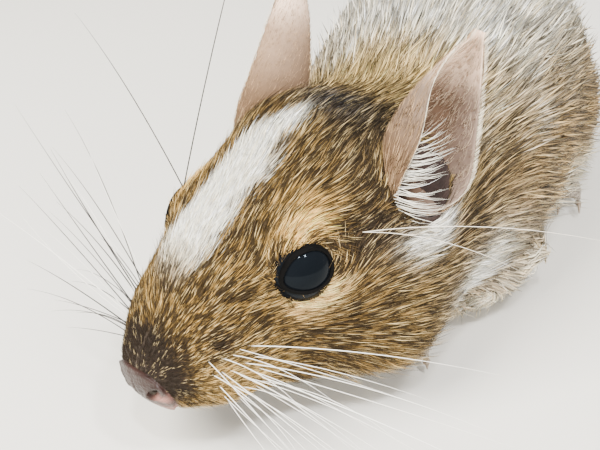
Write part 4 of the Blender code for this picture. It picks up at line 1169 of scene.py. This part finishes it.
def ear_wall(s, t, side, wall):
    """The ear's wall at a share s up from its root and t across it from the front rim, -1, to
    the rear rim, 1. Its width opens quickly and narrows to the tip; wall is the distance out
    from the inner face."""
    long_axis = unit(mirrored(EAR_AXES[side], side))
    opening = mirrored(EAR_OPENING[side], side)
    opening = unit(opening - long_axis * opening.dot(long_axis))
    back = np.cross(long_axis, opening)
    back = back * np.sign(back[1])
    leaf = np.maximum(np.sin(math.pi * np.clip(s, 0, 1) ** 0.72), 0.0) ** 0.8
    radius = EAR_RADIUS[side] * np.maximum(leaf, 0.16 * np.sqrt(np.clip(1.0 - (s - 0.9) * 6, 0.15, 1)))
    radius = radius * (1 + EAR_LOBE[side] * np.exp(-(((s - 0.12) / 0.30) ** 2)) * np.clip(t, 0, 1) ** 1.5)
    rolled = EAR_FRONT_TURN[side] * np.exp(-(((s - 0.42) / 0.38) ** 2)) * ramp(-t, -0.1, 0.1)
    sweep = np.radians(104.0 - 38.0 * s + rolled)
    waves = 0.15 * np.sin(7 * s + 2.5 * t) * leaf
    r = radius + waves + wall * (0.55 + 0.45 * (1 - np.abs(t) ** 4)) * (1 - 0.35 * s)
    return (
        mirrored(EAR_BASE[side], side)
        + long_axis * (EAR_LENGTH[side] * s)[..., None]
        + back * (r * np.sin(sweep * t))[..., None]
        - opening * (r * np.cos(sweep * t))[..., None]
    )


ear_finish, shader, place = new_finish("ear_bare_skin", 0.7, Specular_IOR_Level=0.2)
tint = place.node("Attribute", attribute_name="coat")
veins = place.node("TexNoise", {"Vector": place, "Scale": 330.0, "Detail": 5.0, "Roughness": 0.65})
feed(shader, "Base Color", tint.shaded(veins * 0.7 + 0.62))
creases = place.node("TexNoise", {"Vector": place, "Scale": 1300.0, "Detail": 3.0})
roughen(shader, creases, 0.45, 0.00015)

EAR_ROWS, EAR_COLUMNS = 60, 44
# The left ear's cup and outer face are painted darker than the right's: painted shade over the same skin.
CUP_TONE_AND_SHADE = {"left": (92, 70, 55), "right": (168, 136, 114)}
OUTER_TONE_AND_SHADE = {"left": (120, 102, 88), "right": (150, 124, 102)}
for side in ("left", "right"):
    s, t = grid_of(np.linspace(0.0, 1.0, EAR_ROWS), np.linspace(-1, 1, EAR_COLUMNS))
    inner, outer = ear_wall(s, t, side, 0.0), ear_wall(s, t, side, EAR_THICKNESS)
    loop = np.concatenate([inner, outer[:, ::-1]], 1)
    marks = np.stack([1 + 0 * s, t, s, 0 * s, t[:, ::-1], s]).reshape(2, 3, EAR_ROWS, EAR_COLUMNS)
    marks = np.concatenate([marks[0], marks[1]], -1)
    if side == "left":
        loop, marks = loop[:, ::-1], marks[..., ::-1]
    points, faces = closed_tube(on_head(loop))
    ear = mesh_piece("ear_shell_" + side, points, faces, ear_finish)
    inside, across, along = (np.append(mark.ravel(), [0.5, 0.5]) for mark in marks)
    tone = np.broadcast_to(paint(*CUP_TONE_AND_SHADE[side]), (len(along), 3))
    tone = lerp(tone, paint(138, 118, 106), ramp(across, 0.3, 0.95) * 0.85)
    tone = lerp(tone, paint(*OUTER_TONE_AND_SHADE[side]), 1 - inside)
    tone = lerp(tone, paint(255, 222, 196), ramp(along, 0.62, 0.92))
    # Painted shade: the cup's inside darkened low towards the front and at its root.
    painted_cup_shade = ramp(-along, -0.56, -0.28) * ramp(-across, -0.4, 0.1)
    tone = lerp(tone, paint(30, 15, 11), inside * painted_cup_shade * 0.97)
    painted_root_shade = ramp(-along, -0.30, -0.17) * ramp(-across, -0.45, 0.0)
    tone = lerp(tone, paint(26, 15, 11), inside * painted_root_shade)
    tone = lerp(tone, paint(98, 74, 52), (1 - inside) * ramp(-along, -0.66, -0.25) * 0.85)
    speck = np.exp(-(((along - 0.86) / 0.018) ** 2) - ((across - 0.45) / 0.10) ** 2)
    tone = lerp(tone, paint(70, 52, 48), speck * 0.9)
    colour_points(ear, tone)
    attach(ear, "root")
    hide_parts("ear_" + side)


down_finish, shader, place = new_finish("fine_hair", 0.5, Specular_IOR_Level=0.4)
feed(shader, "Base Color", place.node("Attribute", attribute_name="coat"))


def bent_hairs(name, roots, tips, bow, widths, colours, stations=3, around=3):
    """Fine tapered hairs, each a thin tube on a parabola: the line from root to tip plus four
    times s(1 - s) of its bow."""
    s = np.linspace(0, 1, stations + 1)
    path = roots[:, None] + (tips - roots)[:, None] * s[None, :, None]
    path = path + bow[:, None] * (4 * s * (1 - s))[None, :, None]
    ahead = unit(np.gradient(path, axis=1))
    upright = unit(np.cross(ahead, unit(np.cross(ahead, [0.31, 0.52, 0.79]))))
    level = np.cross(ahead, upright)
    turn = whole_turn(around)
    taper = np.interp(s, [0, 0.5, 1], [1, 0.75, 0.12])
    radius = (widths[:, None] / 2 * taper)[..., None, None]
    rings = path[:, :, None] + radius * (
        np.cos(turn)[:, None] * level[:, :, None] + np.sin(turn)[:, None] * upright[:, :, None]
    )
    ends = rings[:, [0, -1]].mean(2)
    points = np.concatenate([rings.reshape(len(roots), -1, 3), ends], 1)
    piece = many_alike(name, points, tube_faces(stations + 1, around), down_finish)
    colour_points(piece, np.repeat(colours, points.shape[1], 0))
    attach(piece, "root")
    return piece


def varied(colour, count, chance, amount=0.18):
    """A colour for each hair, a little lighter or darker."""
    return paint(*colour) * np.exp(chance.normal(0, amount, count))[:, None]


INNER_HAIRS, OUTER_HAIRS, FRINGE_HAIRS, FAN_HAIRS = 900, 2000, 620, 72
for side in ("left", "right"):
    chance = np.random.default_rng(71 if side == "left" else 72)
    opening = unit(mirrored(EAR_OPENING[side], side))
    # Down inside the cup, leaning to the tip and the rear rim.
    n = INNER_HAIRS
    s, t = chance.uniform(0.16, 0.94, n), chance.uniform(-0.97, 0.97, n)
    root = ear_wall(s, t, side, 0.0)
    s = np.clip(s + chance.uniform(0.03, 0.08, n), 0, 1)
    tip = ear_wall(s, t + chance.uniform(0.0, 0.16, n), side, -0.35)
    inner_down = (root, tip, np.full(n, 0.06), varied((206, 182, 156), n, chance))
    # Hair on the outer face, closer towards the root.
    n = OUTER_HAIRS
    s, t = chance.uniform(0.02, 1, n) ** 1.3 * 0.94, chance.uniform(-1, 1, n)
    root = ear_wall(s, t, side, 0.72)
    tip = ear_wall(np.clip(s + chance.uniform(0.05, 0.12, n), 0, 1), t * 1.02, side, 1.05)
    outer_down = (root, tip, np.full(n, 0.09), varied((150, 122, 92), n, chance, 0.4))
    # The rim's fringe.
    n = FRINGE_HAIRS
    s = chance.uniform(0.06, 1.0, n)
    t = np.where(chance.uniform(0, 1, n) < 0.6, 1.0, -1.0)
    root = ear_wall(s, t, side, 0.35)
    away = unit(root - ear_wall(s, 0 * t, side, 0.3))
    rise = unit(mirrored(EAR_AXES[side], side)) * 0.8
    tip = root + away * chance.uniform(0.15, 0.5, n)[:, None] + rise
    fringe = (root, tip, np.full(n, 0.06), varied((236, 222, 200), n, chance))
    # Long white hairs from the front of the cup across its hollow.
    n = FAN_HAIRS
    s, t = chance.uniform(0.02, 0.40, n), chance.uniform(-1.0, -0.86, n)
    root = ear_wall(s, t, side, 0.2) + opening * (1.8 * ramp(-s, -0.25, 0.0))[:, None]
    heading = FAN_HEADING + FAN_RISE * (1.9 * s - 0.30)[:, None] + chance.normal(0, 0.13, (n, 3))
    tip = root + mirrored(unit(heading), side) * chance.uniform(3.0, 6.2, n)[:, None]
    fan = (root, tip, np.full(n, 0.085), varied((250, 244, 230), n, chance, 0.10))
    groups = (inner_down, outer_down, fringe, fan)
    root, tip, wide, colour = (np.concatenate([group[k] for group in groups]) for k in range(4))
    bow = opening * 0.12 * np.linalg.norm(tip - root, axis=1)[:, None]
    bow = on_head(root + bow) - on_head(root)
    bent_hairs("ear_hair_" + side, on_head(root), on_head(tip), bow, wide, colour)


# ---- Whiskers ----
# Long tapered hairs in rows on the pads beside the nose, and a pair over or behind each eye.
# Those of the left side are white, and most of those of the right side are dark.
WHISKER_LIFT = {"left": (-0.12, -0.40), "right": (0.58, -0.30)}
BROW_ROOT = {"left": (13.9, 29.0, 7.6), "right": (9.6, 21.6, 11.0)}
BROW_HAIRS = {
    "left": (((0.80, 0.58, -0.20), 30.0), ((0.85, 0.45, -0.36), 20.0)),
    "right": (((0.0, 0.65, 0.76), 40.0), ((0.72, 0.20, 0.66), 28.0)),
}
BROW_WIDTH = {"left": 0.10, "right": 0.17}
DARK_HAIR = (30, 26, 26)
FLOOR_CLEARANCE = 1.5
LONGEST_WHISKER = {"left": 33.0, "right": 40.0}
WHISKER_ROWS, WHISKER_RANKS = 5, 5
for side in ("left", "right"):
    chance = np.random.default_rng(81 if side == "left" else 82)
    rows = grid_of(np.linspace(0, 1, WHISKER_ROWS), np.linspace(0, 1, WHISKER_RANKS))
    high, far = (share.ravel() for share in rows)
    count = len(high)
    root = np.stack([8.2 + 3.0 * far, 6.0 + 4.6 * far, -4.2 + 7.0 * high], -1)
    root += chance.normal(0, 0.3, (count, 3))
    lift = WHISKER_LIFT[side][1] + (WHISKER_LIFT[side][0] - WHISKER_LIFT[side][1]) * high
    swing = -0.16 + 0.46 * far + 0.12 * high
    heading = unit(np.stack([np.full(count, 0.92), swing, lift], -1) + chance.normal(0, 0.09, (count, 3)))
    length = (LONGEST_WHISKER[side] - 13 + 13 * far) * chance.uniform(0.55, 1.02, count)
    tip = root + heading * length[:, None]
    root, tip = on_head(mirrored(root, side)), on_head(mirrored(tip, side))
    root, _ = followed(root, np.full(count, -0.4))
    tip[:, 2] = np.maximum(tip[:, 2], FLOOR_CLEARANCE)
    bow = np.array([0.0, 0.0, 1.0]) * (0.045 * length)[:, None] + chance.normal(0, 0.5, (count, 3))
    white = varied((244, 240, 232), count, chance, 0.05)
    black = varied(DARK_HAIR, count, chance, 0.2)
    colour, thicker = white, 0.0
    if side == "right":
        colour = np.where((chance.uniform(0, 1, count) < 0.3)[:, None], white, black)
        thicker = 0.04
    width = chance.uniform(0.095, 0.15, count) + thicker
    whiskers = bent_hairs("whiskers_" + side, root, tip, bow, width, colour, 14, 6)
    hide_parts("whisker_pad_" + side)
    root = np.repeat(mirrored(BROW_ROOT[side], side)[None], len(BROW_HAIRS[side]), 0)
    tip = root + np.array([unit(mirrored(way, side)) * reach for way, reach in BROW_HAIRS[side]])
    bow = np.repeat([[0.0, 0.0, 1.6]], len(root), 0)
    colour = varied((236, 226, 210) if side == "left" else DARK_HAIR, len(root), chance, 0.05)
    width = np.full(len(root), BROW_WIDTH[side])
    root, tip = on_head(root), on_head(tip)
    brow = bent_hairs("brow_hairs_" + side, root, tip, bow, width, colour, 14, 6)
    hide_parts("brow_" + side)


# ---- Claws ----
# A short curved horn claw at the end of each toe.
claw_finish, shader, place = new_finish("claw_horn", 0.35, Coat_Weight=0.2)
grain = place.node("TexNoise", {"Vector": place, "Scale": 1800.0, "Detail": 2.0})
feed(shader, "Base Color", grain.mixed(paint(92, 78, 66), paint(168, 150, 130)))
CLAW_LENGTH = {"fore": 0.9, "hind": 2.6}
CLAW_POINTS, CLAW_AROUND = 9, 8
for foot_name, measures in (("fore", FOREFOOT), ("hind", HINDFOOT)):
    for side in ("left", "right"):
        claws = []
        for line in toe_lines(measures):
            tip = line[2]
            ahead = unit((line[2] - line[0]) * [1, 1, 0])
            middle = tip + ahead * 0.46 * CLAW_LENGTH[foot_name] + [0, 0, 0.25]
            end = tip + ahead * CLAW_LENGTH[foot_name] + [0, 0, -0.7]
            path = mirrored(smooth_path([tip, middle, end], CLAW_POINTS), side)
            path[:, 2] = np.maximum(path[:, 2], 0.35)
            radii = np.linspace(0.58, 0.08, CLAW_POINTS)
            claws.append(closed_tube(tube_rings(path, radii, CLAW_AROUND)))
        points, faces = joined(claws)
        piece = mesh_piece(f"claws_{foot_name}_{side}", points, faces, claw_finish)
        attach(piece, "root")


# ---- Floor, light and camera ----
# A plain pale floor under soft studio light, seen as the photograph sees the animal.
floor_finish, shader, place = new_finish("pale_floor", 0.8)
tone = place.node("TexNoise", {"Vector": place, "Scale": 6.0, "Detail": 2.0})
feed(shader, "Base Color", tone.mixed(paint(224, 221, 213), paint(232, 229, 222)))
FLOOR_REACH = 2500.0
corners = FLOOR_REACH * np.array([[-1, -1, 0], [1, -1, 0], [1, 1, 0], [-1, 1, 0]])
floor = mesh_piece("floor", corners, [(0, 1, 2, 3)], floor_finish, False)

world = bpy.data.worlds.new("studio")
world.use_nodes = True
sky = world.node_tree.nodes["Background"]
sky.inputs["Color"].default_value = (1.0, 0.985, 0.95, 1.0)
sky.inputs["Strength"].default_value = 0.76
bpy.context.scene.world = world


def soft_light(name, place, target, size, power, colour=(1.0, 1.0, 1.0)):
    """A square area light at a place in metres, facing a target."""
    lamp = bpy.data.lights.new(name, "AREA")
    lamp.size = size
    lamp.energy = power
    lamp.color = colour
    light = bpy.data.objects.new(name, lamp)
    back = unit(np.array(place) - np.array(target))
    right = unit(np.cross([0.0, 0.0, 1.0], back))
    up = np.cross(back, right)
    rows = np.column_stack([right, up, back, place])
    light.matrix_world = Matrix([*rows.tolist(), (0, 0, 0, 1)])
    light.visible_glossy = size < 0.2
    bpy.context.scene.collection.objects.link(light)


soft_light("key", (-0.25, -0.40, 0.60), (0.0, -0.03, 0.03), 0.40, 16.3, (1.0, 0.97, 0.90))
soft_light("fill", (0.50, -0.35, 0.22), (0.0, -0.02, 0.02), 0.40, 4.2, (1.0, 0.98, 0.94))
soft_light("strip_front", (0.13, -0.30, 0.54), (0.0, -0.03, 0.03), 0.05, 2.5)
soft_light("strip_rear", (0.27, -0.16, 0.52), (0.0, -0.03, 0.03), 0.05, 2.5)

camera_data = bpy.data.cameras.new("camera")
camera = bpy.data.objects.new("camera", camera_data)
camera_data.sensor_width = 36.0
camera_data.lens = 56.29
camera_data.shift_x = 0.105
camera_data.shift_y = 0.0483
camera_data.clip_start = 0.001
camera.matrix_world = Matrix((
    (0.896, -0.170, 0.411, 0.0372),
    (0.439, 0.489, -0.754, -0.1473),
    (-0.073, 0.856, 0.512, 0.0831),
    (0.0, 0.0, 0.0, 1.0),
))
bpy.context.scene.collection.objects.link(camera)
bpy.context.scene.camera = camera

bpy.context.view_layer.update()
